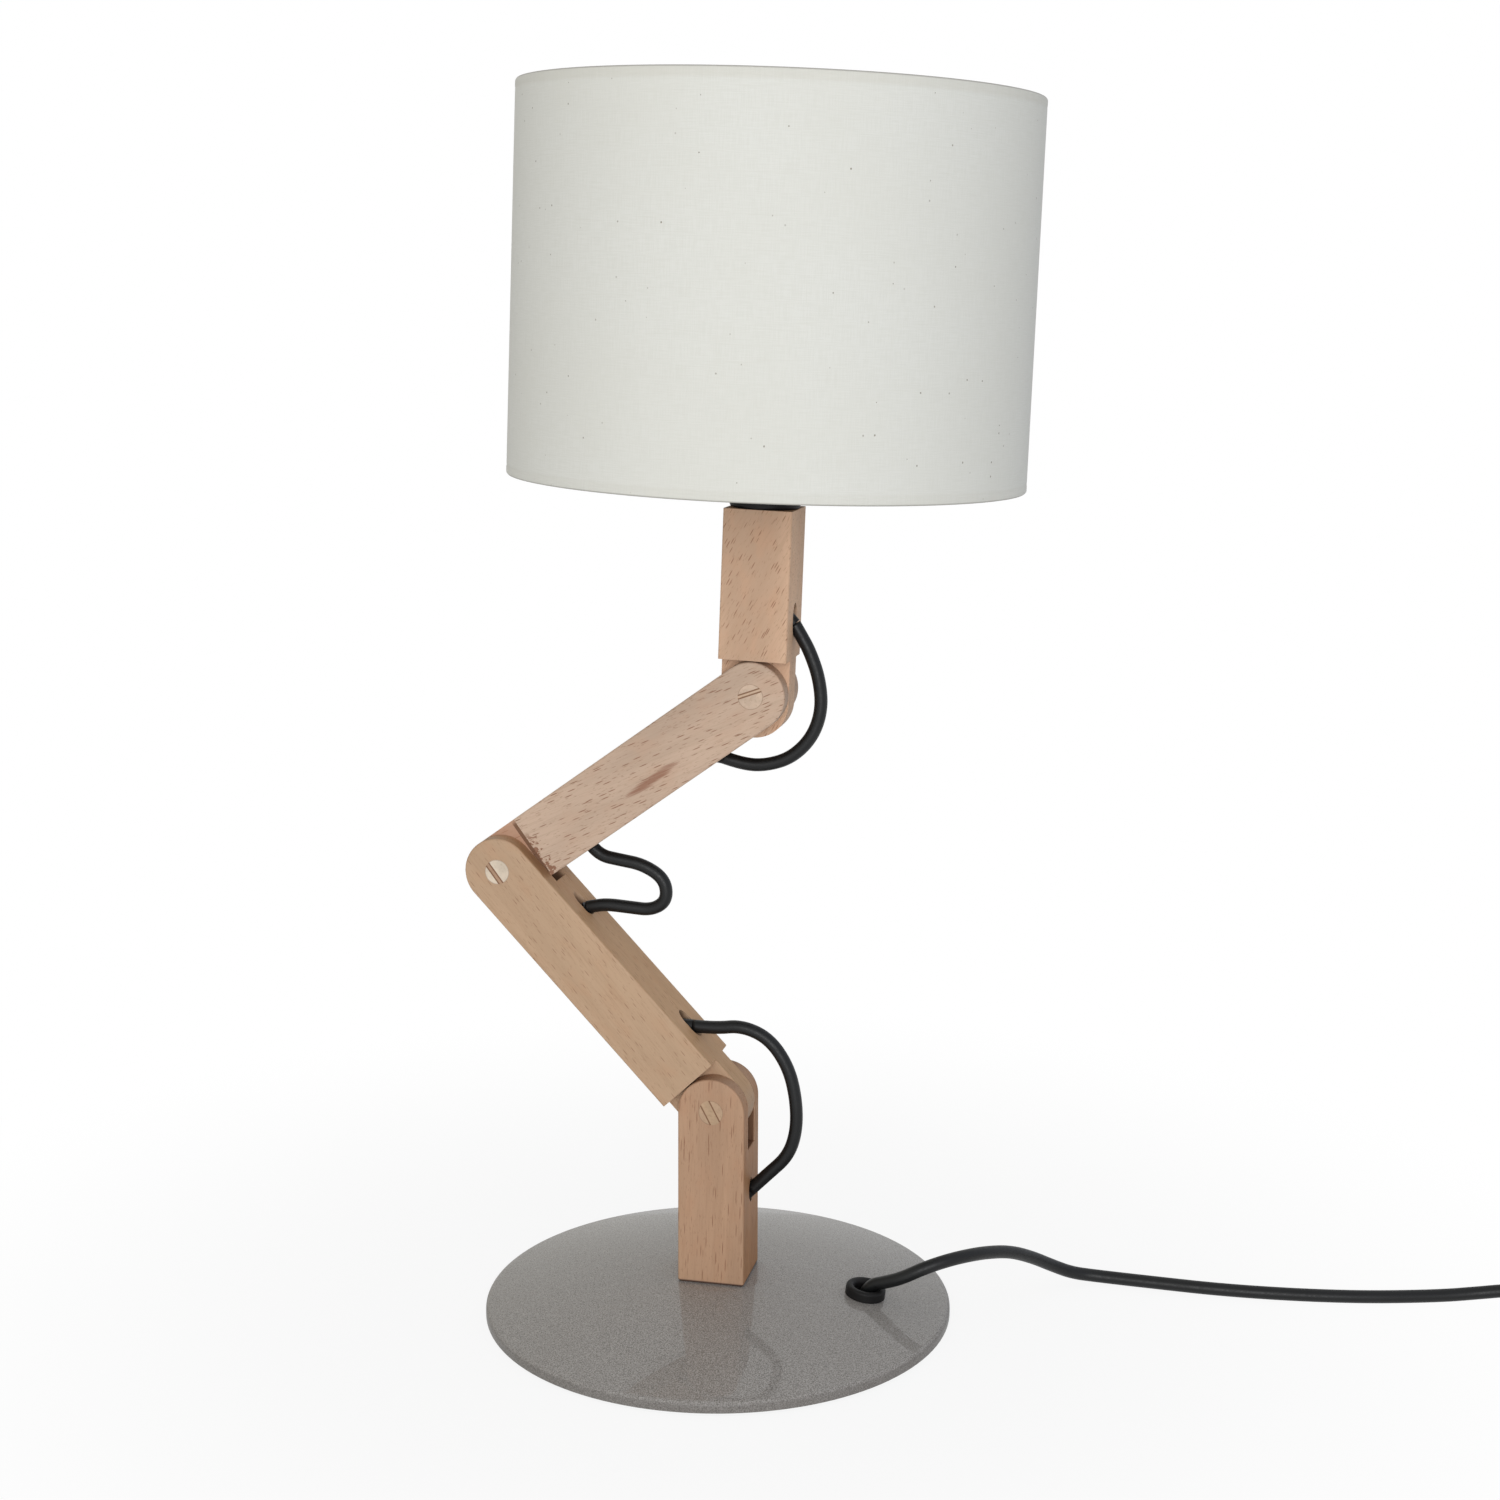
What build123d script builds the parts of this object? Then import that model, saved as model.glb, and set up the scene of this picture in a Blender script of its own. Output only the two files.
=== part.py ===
from build123d import *
import math
import os

# Articulated table lamp: a weighted domed base, a square timber post, two timber arms and a timber head
# block on fork-and-tongue knuckles with wedged dowel pins, a drum shade, and a mains lead with its switch.
# Lengths are in millimetres and angles in degrees. The origin is the middle of the base's underside, +Z is
# up, and the arms swing in the XZ plane about pins that run along Y.

# Timber members
timber_width = 27.0
timber_edge_round = 0.8
pin_spacing = 128.0
post_foot_to_pin = 71.4
post_foot_chamfer = 0.7
head_pin_to_top = 72.4

# Lean of each member from upright at rest, positive to the right
lower_arm_lean = -43.5
upper_arm_lean = 54.0
head_lean = 2.0

# Fork and tongue knuckles
slot_width = 12.0
post_slot_depth = 17.2
arm_slot_depth = 18.6
tongue_side_clearance = 0.15
end_shoulder = 14.0
elbow_shoulder = 18.7
head_tongue_overhang = 3.8

# Wedged dowel pins, with the angle of each wedge on the front face, measured from level
pin_diameter = 10.0
pin_glue_gap = 0.02
pin_running_clearance = 0.06
wedge_depth = 6.0
wedge_tip_share = 0.5
lower_wedge_angle = -62.0
lower_wedge_thickness = 4.6
lower_wedge_offset = 0.4
elbow_wedge_angle = -53.0
elbow_wedge_thickness = 2.2
elbow_wedge_offset = 1.4
upper_wedge_angle = 20.0
upper_wedge_thickness = 1.9
upper_wedge_offset = -1.4

# Domed base
base_radius = 94.0
base_sheet = 1.5
rim_height = 4.0
rim_round = 1.8
rim_foot_round = 0.4
dome_rise = 10.35
post_seat_radius = 20.0
pad_thickness = 1.5
pad_proud = 0.5
pad_edge_gap = 1.0
ballast_rim_gap = 6.5
ballast_top_clearance = 0.4

# Post screws
screw_offset = 8.5
screw_diameter = 4.5
screw_head_diameter = 8.4
screw_head_height = 2.6
screw_length = 38.0
screw_tip = 4.0
screw_clearance = 0.05

# Rubber grommet in the dome
grommet_reach = 60.5
grommet_diameter = 16.0
grommet_neck_diameter = 12.4
grommet_bore = 9.4
grommet_proud = 4.0
grommet_flange = 1.6
grommet_edge_round = 1.2
grommet_flare = 1.8
grommet_seat_gap = 0.15

# Cord and its channels in the timber
cord_diameter = 5.2
channel_clearance = 0.9
hole_angle = 45.0
post_hole_drop = 35.5
lower_arm_low_hole = 29.6
lower_arm_high_hole = 34.6
upper_arm_low_hole = 34.5
upper_arm_high_hole = 27.0
head_hole = 27.6
mouth_ramp = 3.4
post_mouth_ramp = 1.8
ramp_depth = 5.5
cord_end_gap = 0.05
base_cord_height = 4.3
head_cord_end = 9.0

# Lampholder on its threaded nipple, heights counted from the top of the head block
nipple_diameter = 10.0
nipple_bore = 6.8
nipple_depth = 15.0
nipple_rise = 5.4
nipple_gap = 0.05
nut_across_flats = 13.0
nut_thickness = 2.4
holder_cap_diameter = 27.5
holder_cap_height = 16.0
holder_cap_wall = 2.0
holder_cap_floor = 2.5
holder_cap_round = 1.2
holder_spigot_depth = 10.0
holder_spigot_gap = 0.1
holder_spigot_bore = 19.0
holder_flange_diameter = 34.0
holder_flange_thickness = 2.5
holder_barrel_diameter = 28.0
holder_barrel_height = 23.5
holder_shelf_rise = 2.5
holder_bore = 16.9
holder_mouth_chamfer = 1.0
sleeve_wall = 1.0
sleeve_gap = 0.1
sleeve_height = 18.5
contact_width = 5.0
contact_thickness = 0.5
contact_rise = 2.2
contact_reach = 6.0

# Shade fitting
fitter_diameter = 42.0
fitter_thickness = 1.2
fitter_bore_gap = 0.3
clamp_ring_diameter = 37.0
clamp_ring_height = 7.0
clamp_ring_gap = 0.1
clamp_ring_flange = 2.0
clamp_ring_body_diameter = 33.0
spoke_diameter = 2.4
spoke_count = 3

# Drum shade, its height counted along the head block's axis from the upper pin
shade_diameter = 200.0
shade_height = 147.0
shade_bottom = 82.8
shade_cloth = 0.6
shade_edge_round = 0.8
shade_hem_flap = 8.0
shade_lining = 0.5
shade_layer_gap = 0.05
ring_wire_diameter = 2.4
ring_gap = 0.1

# Golf-ball bulb
bulb_length = 78.0
bulb_diameter = 45.0
bulb_neck_diameter = 16.0
bulb_neck_angle = -50.0
bulb_button_diameter = 5.0
bulb_button_height = 1.2
bulb_insulator_height = 2.4
bulb_cap_diameter = 13.9
bulb_cap_height = 22.0
bulb_collar_height = 2.0
bulb_seat_gap = 0.3
bulb_wall = 0.9

# In-line rocker switch
switch_length = 58.0
switch_width = 27.0
switch_height = 19.0
switch_cord_height = 7.0
switch_corner_radius = 10.0
switch_top_round = 4.0
switch_foot_round = 1.6
switch_wall = 2.2
switch_port_depth = 9.0
switch_port_gap = 0.1
switch_cavity_length = 36.0
switch_boss_diameter = 6.4
switch_screw_x = 21.0
switch_screw_y = 7.4
switch_screw_diameter = 2.6
switch_screw_head = 4.6
switch_screw_head_depth = 2.0
switch_screw_length = 12.0
rocker_length = 21.0
rocker_width = 12.6
rocker_gap = 0.25
rocker_swing_gap = 0.9
rocker_tilt = 9.0
rocker_pivot_height = 15.6
rocker_pivot_diameter = 3.0
rocker_pivot_reach = 1.6
rocker_crest = 4.4
rocker_dip = 2.0
rocker_skirt = 1.4
rocker_depth = 4.6
rocker_foot_share = 0.45
rocker_bearing_length = 7.0
rocker_bearing_thickness = 2.4
rocker_bearing_drop = 2.4

# Two-pin plug
plug_rear_diameter = 9.0
plug_grip_width = 17.0
plug_grip_height = 11.5
plug_grip_at = 16.0
plug_face_width = 35.0
plug_face_height = 13.7
plug_shoulder_at = 29.0
plug_face_length = 8.0
plug_corner_radius = 4.4
plug_pin_spacing = 18.6
plug_pin_diameter = 4.0
plug_pin_length = 19.0
plug_pin_seat = 7.0
plug_pin_gap = 0.02
plug_rest_gap = 0.1

# Put-away coil of the lead and its strap
coil_outer_radius = 41.0
coil_turn_gap = 0.6
coil_half_turns = 7
coil_climb_inset = 0.8
coil_height = 4.1
tie_thickness = 0.9
tie_width = 6.0
tie_gap = 0.45
tie_side_gap = 0.8
tie_corner_radius = 3.0

# Cord routes, chosen by hand, in the lamp's frame at rest
lower_loop_route = [
    (20.5, 0.0, 57.8), (29.5, 0.0, 66.0), (33.3, 0.0, 77.5), (32.6, 0.0, 90.5), (29.0, 0.0, 103.0),
    (20.5, 0.0, 114.0), (9.5, 0.0, 118.6), (-1.5, 0.0, 116.76),
]
elbow_loop_route = [
    (-51.2, 0.0, 166.4), (-44.0, 0.0, 167.2), (-35.0, 0.0, 164.5), (-26.0, 0.0, 163.3), (-20.5, 0.0, 168.5),
    (-22.5, 0.0, 177.0), (-31.0, 0.0, 182.5), (-41.0, 0.0, 184.0), (-49.4, 0.0, 184.6),
]
upper_loop_route = [
    (9.5, 0.0, 226.3), (18.5, 0.0, 225.2), (29.0, 0.0, 228.5), (37.5, 0.0, 237.0), (41.5, 0.0, 248.0),
    (41.0, 0.0, 259.5), (38.0, 0.0, 270.0), (34.6, 0.0, 276.4),
]
lead_route = [
    (60.2, 0.0, 11.0), (63.0, -0.4, 15.4), (68.6, -1.5, 17.4), (75.4, -2.4, 20.1), (84.4, -1.8, 25.0),
    (92.9, 1.8, 27.5), (100.2, 7.8, 27.8), (107.4, 17.6, 25.9), (115.4, 29.4, 22.1), (123.2, 40.8, 15.7),
    (130.9, 49.6, 9.1), (138.5, 55.2, 4.4), (147.5, 58.2, 2.7), (167.0, 57.2, 2.7), (205.0, 55.8, 2.7),
    (250.0, 60.5, 2.7), (286.0, 70.0, 2.7), (304.0, 73.4, 4.6), (314.0, 73.0, 6.8), (322.0, 73.0, 7.0),
]
base_turn_route = [(56.3, 0.0, 4.3)]
link_route = [(388.0, 73.0, 6.6), (400.0, 72.2, 4.8), (412.0, 71.4, 4.1)]
tail_route = [(415.0, -10.6, 9.9), (405.5, -10.6, 6.95)]
coil_middle = (427.0, 30.4)
plug_end = (396.0, -10.6)

# Working values
overrun = 2.0
near = 0.01
run_share = 0.45
half_timber = timber_width / 2
tongue_thickness = slot_width - 2 * tongue_side_clearance
pin_radius = pin_diameter / 2
cord_radius = cord_diameter / 2
channel_diameter = cord_diameter + 2 * channel_clearance
rim_z = pad_proud + rim_height
seat_z = rim_z + dome_rise
ballast_radius = base_radius - base_sheet - ballast_rim_gap
holder_top = head_pin_to_top + holder_cap_height + holder_flange_thickness
shade_top = shade_bottom + shade_height
axial = (Align.CENTER, Align.CENTER, Align.MIN)


# Places of the members at rest
def along(lean):
    """Direction of a member that leans from upright."""
    angle = math.radians(lean)
    return Vector(math.sin(angle), 0, math.cos(angle))


lower_pin = Vector(0, 0, seat_z + post_foot_to_pin)
elbow_pin = lower_pin + along(lower_arm_lean) * pin_spacing
upper_pin = elbow_pin + along(upper_arm_lean) * pin_spacing
lower_arm_place = Pos(*lower_pin) * Rot(0, lower_arm_lean, 0)
upper_arm_place = Pos(*elbow_pin) * Rot(0, upper_arm_lean, 0)
head_place = Pos(*upper_pin) * Rot(0, head_lean, 0)


def placed_point(place, point):
    """A member's own point in the lamp's frame."""
    return (place * Pos(*point)).position


# Cord tubes
def route_radii(points):
    """Largest fair radius at each corner of a route."""
    radii = []
    for before, corner, after in zip(points, points[1:], points[2:]):
        run_in = Vector(*corner) - Vector(*before)
        run_out = Vector(*after) - Vector(*corner)
        half_turn = math.radians(run_in.get_angle(run_out)) / 2
        radii.append(run_share * min(run_in.length, run_out.length) / math.tan(half_turn))
    return radii


def tube(points, diameter, radii=None):
    """Round tube along straight runs joined by tangent arcs."""
    path = FilletPolyline(*points, radius=radii or route_radii(points))
    section = Plane(origin=path @ 0, z_dir=path % 0) * Circle(diameter / 2)
    return sweep(section, path=path), path.length


def cord_tube(name, points):
    """Cord along a route, with its radii and its volume against section times length printed."""
    solid, length = tube(points, cord_diameter)
    ratio = solid.volume / (math.pi * cord_radius ** 2 * length)
    radii = " ".join(f"{radius:.1f}" for radius in route_radii(points))
    print(f"{name}: length {length:.1f}, volume ratio {ratio:.4f}, radii {radii}")
    return solid


def stretched(points, ends):
    """A route with its chosen ends carried on straight, for cutting a channel."""
    points = [Vector(*point) for point in points]
    first = points[0] + (points[0] - points[1]).normalized() * (timber_width if ends[0] else 0)
    last = points[-1] + (points[-1] - points[-2]).normalized() * (timber_width if ends[1] else 0)
    return [first] + points[1:-1] + [last]


def channel(points, ends=(True, True)):
    """Channel for a cord, open past the chosen ends of its route."""
    return tube(stretched(points, ends), channel_diameter, route_radii(points))[0]


# Timber members, each with a pin at its own origin and its length along Z
def timber_bar(low, high, round_low, round_high):
    """Square bar between two heights; a round end has its centre at that height."""
    right = Line((half_timber, low), (half_timber, high))
    left = Line((-half_timber, high), (-half_timber, low))
    top = Line((half_timber, high), (-half_timber, high))
    if round_high:
        top = ThreePointArc((half_timber, high), (0, high + half_timber), (-half_timber, high))
    foot = Line((-half_timber, low), (half_timber, low))
    if round_low:
        foot = ThreePointArc((-half_timber, low), (0, low - half_timber), (half_timber, low))
    bar = extrude(Plane.XZ * make_face([right, top, left, foot]), amount=half_timber, both=True)
    square_ends = [height for height, is_round in ((low, round_low), (high, round_high)) if not is_round]
    arrises = [
        edge for edge in bar.faces().filter_by(Axis.Y).edges()
        if all(abs(edge.center().Z - height) > near for height in square_ends)
    ]
    return fillet(arrises, timber_edge_round)


def fork_slot(pin_height, depth):
    """Slot between the ears of a fork, its floor at a depth below the pin."""
    block = Box(timber_width + 2 * overrun, slot_width, depth + half_timber + overrun, align=axial)
    return Pos(0, 0, pin_height - depth) * block


def tongue_cheeks(shoulder, overhang=0):
    """Waste on both sides of a tongue whose pin is at the origin, its round end lower by an overhang."""
    cheek = (timber_width - tongue_thickness) / 2 + overrun
    drop = half_timber + overhang + overrun
    block = Box(timber_width + 2 * overrun, cheek, shoulder + drop, align=axial)
    return [Pos(0, side * (tongue_thickness + cheek) / 2, -drop) * block for side in (-1, 1)]


def pin_hole(height, clearance):
    """Hole along Y for a dowel pin."""
    return Pos(0, 0, height) * Rot(90, 0, 0) * Cylinder(pin_radius + clearance, timber_width + 2 * overrun)


def side_bore(mouth_height, axis_height, far_height):
    """Route from a mouth on the right face to the member's axis and along it."""
    return [(half_timber, 0, mouth_height), (0, 0, axis_height), (0, 0, far_height)]


oblique_run = half_timber / math.tan(math.radians(hole_angle))


def arm_cord_route(low_mouth, high_mouth, low_run, high_run):
    """Cord through an arm, from its low mouth along the axis to its high mouth."""
    return [
        (half_timber, 0, low_mouth), (0, 0, low_mouth + low_run),
        (0, 0, high_mouth - high_run), (half_timber, 0, high_mouth),
    ]


lower_arm_cord_route = arm_cord_route(lower_arm_low_hole, pin_spacing - lower_arm_high_hole, oblique_run, 0)
upper_arm_cord_route = arm_cord_route(upper_arm_low_hole, pin_spacing - upper_arm_high_hole, 0, oblique_run)
head_cord_route = side_bore(head_hole, head_hole + oblique_run, head_pin_to_top + head_cord_end)
low_ramp = lower_arm_low_hole + mouth_ramp
high_ramp = pin_spacing - lower_arm_high_hole + mouth_ramp
head_ramp = head_hole + mouth_ramp


def ramp(mouth_height, axis_height):
    """Straight slanting bore beside a cord mouth on the right face, aimed at a height on the axis."""
    face_point = Vector(half_timber, 0, mouth_height)
    inward = (Vector(0, 0, axis_height) - face_point) * (ramp_depth / half_timber)
    section = Plane(origin=face_point - inward, z_dir=inward) * Circle(channel_diameter / 2)
    return extrude(section, amount=2 * inward.length)


def arm(shoulder, cord_route):
    """Arm with a tongue at its lower pin and a fork at its upper pin."""
    bar = timber_bar(0, pin_spacing, True, True)
    bar -= tongue_cheeks(shoulder)
    bar -= fork_slot(pin_spacing, arm_slot_depth)
    bar -= pin_hole(0, pin_running_clearance)
    bar -= pin_hole(pin_spacing, pin_glue_gap)
    return bar - channel(cord_route)


def head_block():
    """Head with a long tongue at its pin, a flat top, and a socket for the nipple."""
    bar = timber_bar(-head_tongue_overhang, head_pin_to_top, True, False)
    bar -= tongue_cheeks(end_shoulder, head_tongue_overhang)
    bar -= pin_hole(0, pin_running_clearance)
    bar -= channel(head_cord_route)
    bar -= ramp(head_ramp, head_ramp + oblique_run)
    socket = Cylinder(nipple_diameter / 2 + nipple_gap, nipple_depth + overrun, align=axial)
    return bar - Pos(0, 0, head_pin_to_top - nipple_depth) * socket


def dowel(angle, thickness, offset):
    """Dowel along Y with a kerf in each end, and the two wedges driven into the kerfs."""
    rod = Rot(90, 0, 0) * Cylinder(pin_radius, timber_width)
    tip = half_timber - wedge_depth
    tip_thickness = thickness * wedge_tip_share
    outline = Polyline(
        (offset - thickness / 2, half_timber), (offset + thickness / 2, half_timber),
        (offset + tip_thickness / 2, tip), (offset - tip_thickness / 2, tip), close=True,
    )
    prism = extrude(make_face(outline), amount=pin_diameter, both=True)
    turned = Rot(0, math.degrees(math.pi / 2) - angle, 0)
    prisms = [turned * prism, turned * mirror(prism, about=Plane.XZ)]
    return rod - prisms, Compound([(prism & rod).solid() for prism in prisms])


# Base
def cap_height(reach, radius, top, rim, inset=0):
    """Height of a dome's surface at a distance from its axis, moved in by an inset."""
    middle = (post_seat_radius ** 2 - radius ** 2 + top ** 2 - rim ** 2) / (2 * (top - rim))
    sphere = math.hypot(radius, rim - middle) - inset
    return middle + math.sqrt(sphere ** 2 - reach ** 2)


def dome(radius, top, rim, foot):
    """Shallow spherical cap with a flat seat in the middle, on a straight rim."""
    half_way = (post_seat_radius + radius) / 2
    crown = ThreePointArc(
        (radius, rim), (half_way, cap_height(half_way, radius, top, rim)), (post_seat_radius, top)
    )
    side = Polyline((0, foot), (radius, foot), (radius, rim))
    seat = Polyline((post_seat_radius, top), (0, top), (0, foot))
    return revolve(Plane.XZ * make_face([side, crown, seat]), axis=Axis.Z)


def ring_edges(solid, radius, height):
    """Circular edges of a turned solid at a radius and height."""
    return [
        edge for edge in solid.edges().filter_by(GeomType.CIRCLE)
        if abs(edge.radius - radius) < near and abs(edge.center().Z - height) < near
    ]


grommet_slope = math.degrees(
    math.atan(
        (cap_height(grommet_reach - near, base_radius, seat_z, rim_z)
         - cap_height(grommet_reach + near, base_radius, seat_z, rim_z)) / (2 * near)
    )
)
grommet_height = cap_height(grommet_reach, base_radius, seat_z, rim_z)
grommet_place = Pos(grommet_reach, 0, grommet_height) * Rot(0, grommet_slope, 0)


def post_screw(clearance):
    """Countersunk wood screw standing on its head, or the hole for it."""
    shank = screw_diameter / 2 + clearance
    outline = Polyline(
        (0, 0), (screw_head_diameter / 2 + clearance, 0), (shank, screw_head_height),
        (shank, screw_length - screw_tip + clearance), (0, screw_length + clearance), close=True,
    )
    return revolve(Plane.XZ * make_face(outline), axis=Axis.Z)


def at_post_screws(shape):
    """Copies of a shape at the two post screws."""
    return [Pos(0, side * screw_offset, pad_thickness) * shape for side in (-1, 1)]


def base_dome():
    """Pressed cover with holes for the cord, the screws and the grommet."""
    shell = dome(base_radius, seat_z, rim_z, pad_proud)
    shell = fillet(ring_edges(shell, base_radius, rim_z), rim_round)
    shell = fillet(ring_edges(shell, base_radius, pad_proud), rim_foot_round)
    inner_radius = base_radius - base_sheet
    inner_rim = cap_height(inner_radius, base_radius, seat_z, rim_z, base_sheet)
    inside = dome(inner_radius, seat_z - base_sheet, inner_rim, pad_proud - overrun)
    shell -= inside
    shell -= Cylinder(channel_diameter / 2 + channel_clearance, seat_z + overrun, align=axial)
    shell -= at_post_screws(post_screw(screw_clearance))
    neck_hole = Cylinder(grommet_neck_diameter / 2 + grommet_seat_gap, 2 * (base_sheet + overrun))
    return shell - grommet_place * neck_hole


def ballast_plate():
    """Cast weight under the dome, slotted for the cord and drilled for the post screws."""
    inset = base_sheet + ballast_top_clearance
    plate_rim = cap_height(ballast_radius, base_radius, seat_z, rim_z, inset)
    plate = dome(ballast_radius, seat_z - base_sheet, plate_rim, pad_thickness)
    slot = Box(grommet_reach, channel_diameter, seat_z, align=(Align.MIN, Align.CENTER, Align.MIN))
    well = Cylinder(channel_diameter / 2 + channel_clearance, seat_z, align=axial)
    pocket = Cylinder(grommet_diameter / 2 + channel_clearance, seat_z, align=axial)
    plate -= [slot, well, Pos(grommet_reach, 0, 0) * pocket]
    return plate - at_post_screws(post_screw(screw_clearance))


def cord_grommet():
    """Turned rubber bush gripping the sheet, with a flared mouth."""
    bore = grommet_bore / 2
    rim = grommet_diameter / 2
    neck = grommet_neck_diameter / 2
    under = -base_sheet - grommet_seat_gap
    flare_centre = (bore + grommet_flare, grommet_proud - grommet_flare)
    flare_share = 1 / math.sqrt(2)
    flare_middle = (
        flare_centre[0] - grommet_flare * flare_share, flare_centre[1] + grommet_flare * flare_share
    )
    body = Polyline(
        (bore, flare_centre[1]), (bore, under - grommet_flange), (rim, under - grommet_flange), (rim, under),
        (neck, under), (neck, 0), (rim, 0), (rim, grommet_proud), (flare_centre[0], grommet_proud),
    )
    flare = ThreePointArc((flare_centre[0], grommet_proud), flare_middle, (bore, flare_centre[1]))
    bush = revolve(Plane.XZ * make_face([body, flare]), axis=Axis.Z)
    return fillet(ring_edges(bush, rim, grommet_proud), grommet_edge_round)


# Lampholder, shade fitting and bulb, in the head block's own frame
def turned(*points):
    """Solid of revolution about Z from a closed outline of radius and height."""
    return revolve(Plane.XZ * make_face(Polyline(*points, close=True)), axis=Axis.Z)


def hollow(outer, inner, low, high):
    """Plain tube between two heights."""
    return turned((inner, low), (outer, low), (outer, high), (inner, high))


def threaded_nipple():
    """Tube screwed into the head block that carries the lampholder."""
    low = head_pin_to_top - nipple_depth
    return hollow(nipple_diameter / 2, nipple_bore / 2, low, head_pin_to_top + nipple_rise)


def nipple_nut():
    """Hexagon nut that holds the lampholder's cap down."""
    hexagon = RegularPolygon(nut_across_flats / 2, 6, major_radius=False)
    blank = extrude(hexagon, amount=nut_thickness)
    blank -= Cylinder(nipple_diameter / 2 + nipple_gap, nut_thickness, align=axial)
    return Pos(0, 0, head_pin_to_top + holder_cap_floor) * blank


def lampholder_cap():
    """Black cup between the head block and the lampholder's body."""
    radius = holder_cap_diameter / 2
    inside = radius - holder_cap_wall
    hole = nipple_diameter / 2 + nipple_gap
    low = head_pin_to_top
    floor = low + holder_cap_floor
    high = low + holder_cap_height
    cup = turned((hole, low), (radius, low), (radius, high), (inside, high), (inside, floor), (hole, floor))
    return fillet(ring_edges(cup, radius, low) + ring_edges(cup, radius, high), holder_cap_round)


def lampholder_body():
    """Insulating barrel with a spigot in the cap, a flange for the shade and a shelf for the contact."""
    spigot = holder_cap_diameter / 2 - holder_cap_wall - holder_spigot_gap
    low = head_pin_to_top + holder_cap_height - holder_spigot_depth
    flange_low = head_pin_to_top + holder_cap_height
    high = holder_top + holder_barrel_height
    barrel = holder_barrel_diameter / 2
    bore = holder_bore / 2
    shelf = holder_top + holder_shelf_rise
    body = turned(
        (holder_spigot_bore / 2, low), (spigot, low), (spigot, flange_low),
        (holder_flange_diameter / 2, flange_low), (holder_flange_diameter / 2, holder_top),
        (barrel, holder_top), (barrel, high), (bore + holder_mouth_chamfer, high),
        (bore, high - holder_mouth_chamfer), (bore, shelf), (0, shelf), (0, flange_low),
        (holder_spigot_bore / 2, flange_low),
    )
    return body


def lampholder_sleeve():
    """Screw sleeve that takes the bulb's cap."""
    outer = holder_bore / 2 - sleeve_gap
    low = holder_top + holder_shelf_rise
    return hollow(outer, outer - sleeve_wall, low, low + sleeve_height)


def lampholder_contact():
    """Bent spring strip on the shelf, under the bulb's button."""
    low = holder_top + holder_shelf_rise + contact_thickness / 2
    strip = Polyline(
        (-contact_reach, low), (-contact_reach / 2, low), (0, low + contact_rise),
        (contact_reach / 2, low + contact_rise),
    )
    return extrude(Plane.XZ * trace(strip, contact_thickness), amount=contact_width / 2, both=True)


def clamp_ring():
    """Screw ring that clamps the shade's fitter on the lampholder's flange."""
    inner = holder_barrel_diameter / 2 + clamp_ring_gap
    low = holder_top + fitter_thickness
    return turned(
        (inner, low), (clamp_ring_diameter / 2, low), (clamp_ring_diameter / 2, low + clamp_ring_flange),
        (clamp_ring_body_diameter / 2, low + clamp_ring_flange),
        (clamp_ring_body_diameter / 2, low + clamp_ring_height), (inner, low + clamp_ring_height),
    )


shade_radius = shade_diameter / 2
cloth_back = shade_radius - shade_cloth
lining_face = cloth_back - shade_layer_gap
lining_back = lining_face - shade_lining
flap_face = lining_back - shade_layer_gap
flap_back = flap_face - shade_cloth
ring_radius = flap_back - ring_gap - ring_wire_diameter / 2


def shade_wire_ring(height):
    """Wire ring inside a hem."""
    return Pos(0, 0, height) * Torus(ring_radius, ring_wire_diameter / 2)


def shade_frame():
    """Bottom ring, sloping spokes and the flat fitter, welded into one."""
    ring_height = shade_bottom + shade_cloth + ring_gap + ring_wire_diameter / 2
    fitter_height = holder_top + fitter_thickness / 2
    fitter_bore = holder_barrel_diameter / 2 + fitter_bore_gap
    frame = shade_wire_ring(ring_height)
    frame += hollow(fitter_diameter / 2, fitter_bore, holder_top, holder_top + fitter_thickness)
    start = Vector(fitter_diameter / 2 - spoke_diameter / 2, 0, fitter_height)
    reach = Vector(ring_radius, 0, ring_height) - start
    spoke = extrude(Plane(origin=start, z_dir=reach) * Circle(spoke_diameter / 2), amount=reach.length)
    clear_below = Cylinder(fitter_diameter / 2, spoke_diameter, align=(Align.CENTER, Align.CENTER, Align.MAX))
    spoke -= Pos(0, 0, holder_top) * clear_below
    for index in range(spoke_count):
        frame += Rot(0, 0, math.degrees(2 * math.pi * index / spoke_count)) * spoke
    return frame


def shade_cloth_drum():
    """Cloth drum with hems turned over the edges to the inside."""
    low = shade_bottom
    high = shade_top
    drum = turned(
        (flap_back, low), (shade_radius, low), (shade_radius, high), (flap_back, high),
        (flap_back, high - shade_hem_flap), (flap_face, high - shade_hem_flap),
        (flap_face, high - shade_cloth), (cloth_back, high - shade_cloth),
        (cloth_back, low + shade_cloth), (flap_face, low + shade_cloth),
        (flap_face, low + shade_hem_flap), (flap_back, low + shade_hem_flap),
    )
    edges = ring_edges(drum, shade_radius, low) + ring_edges(drum, shade_radius, high)
    return fillet(edges, shade_edge_round)


def shade_lining_drum():
    """Stiff lining that the cloth is laid on."""
    inset = shade_cloth + shade_layer_gap
    return hollow(lining_face, lining_back, shade_bottom + inset, shade_top - inset)


bulb_foot = holder_top + holder_shelf_rise + contact_thickness + contact_rise + bulb_seat_gap
bulb_cap_top = bulb_foot + bulb_cap_height


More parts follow.
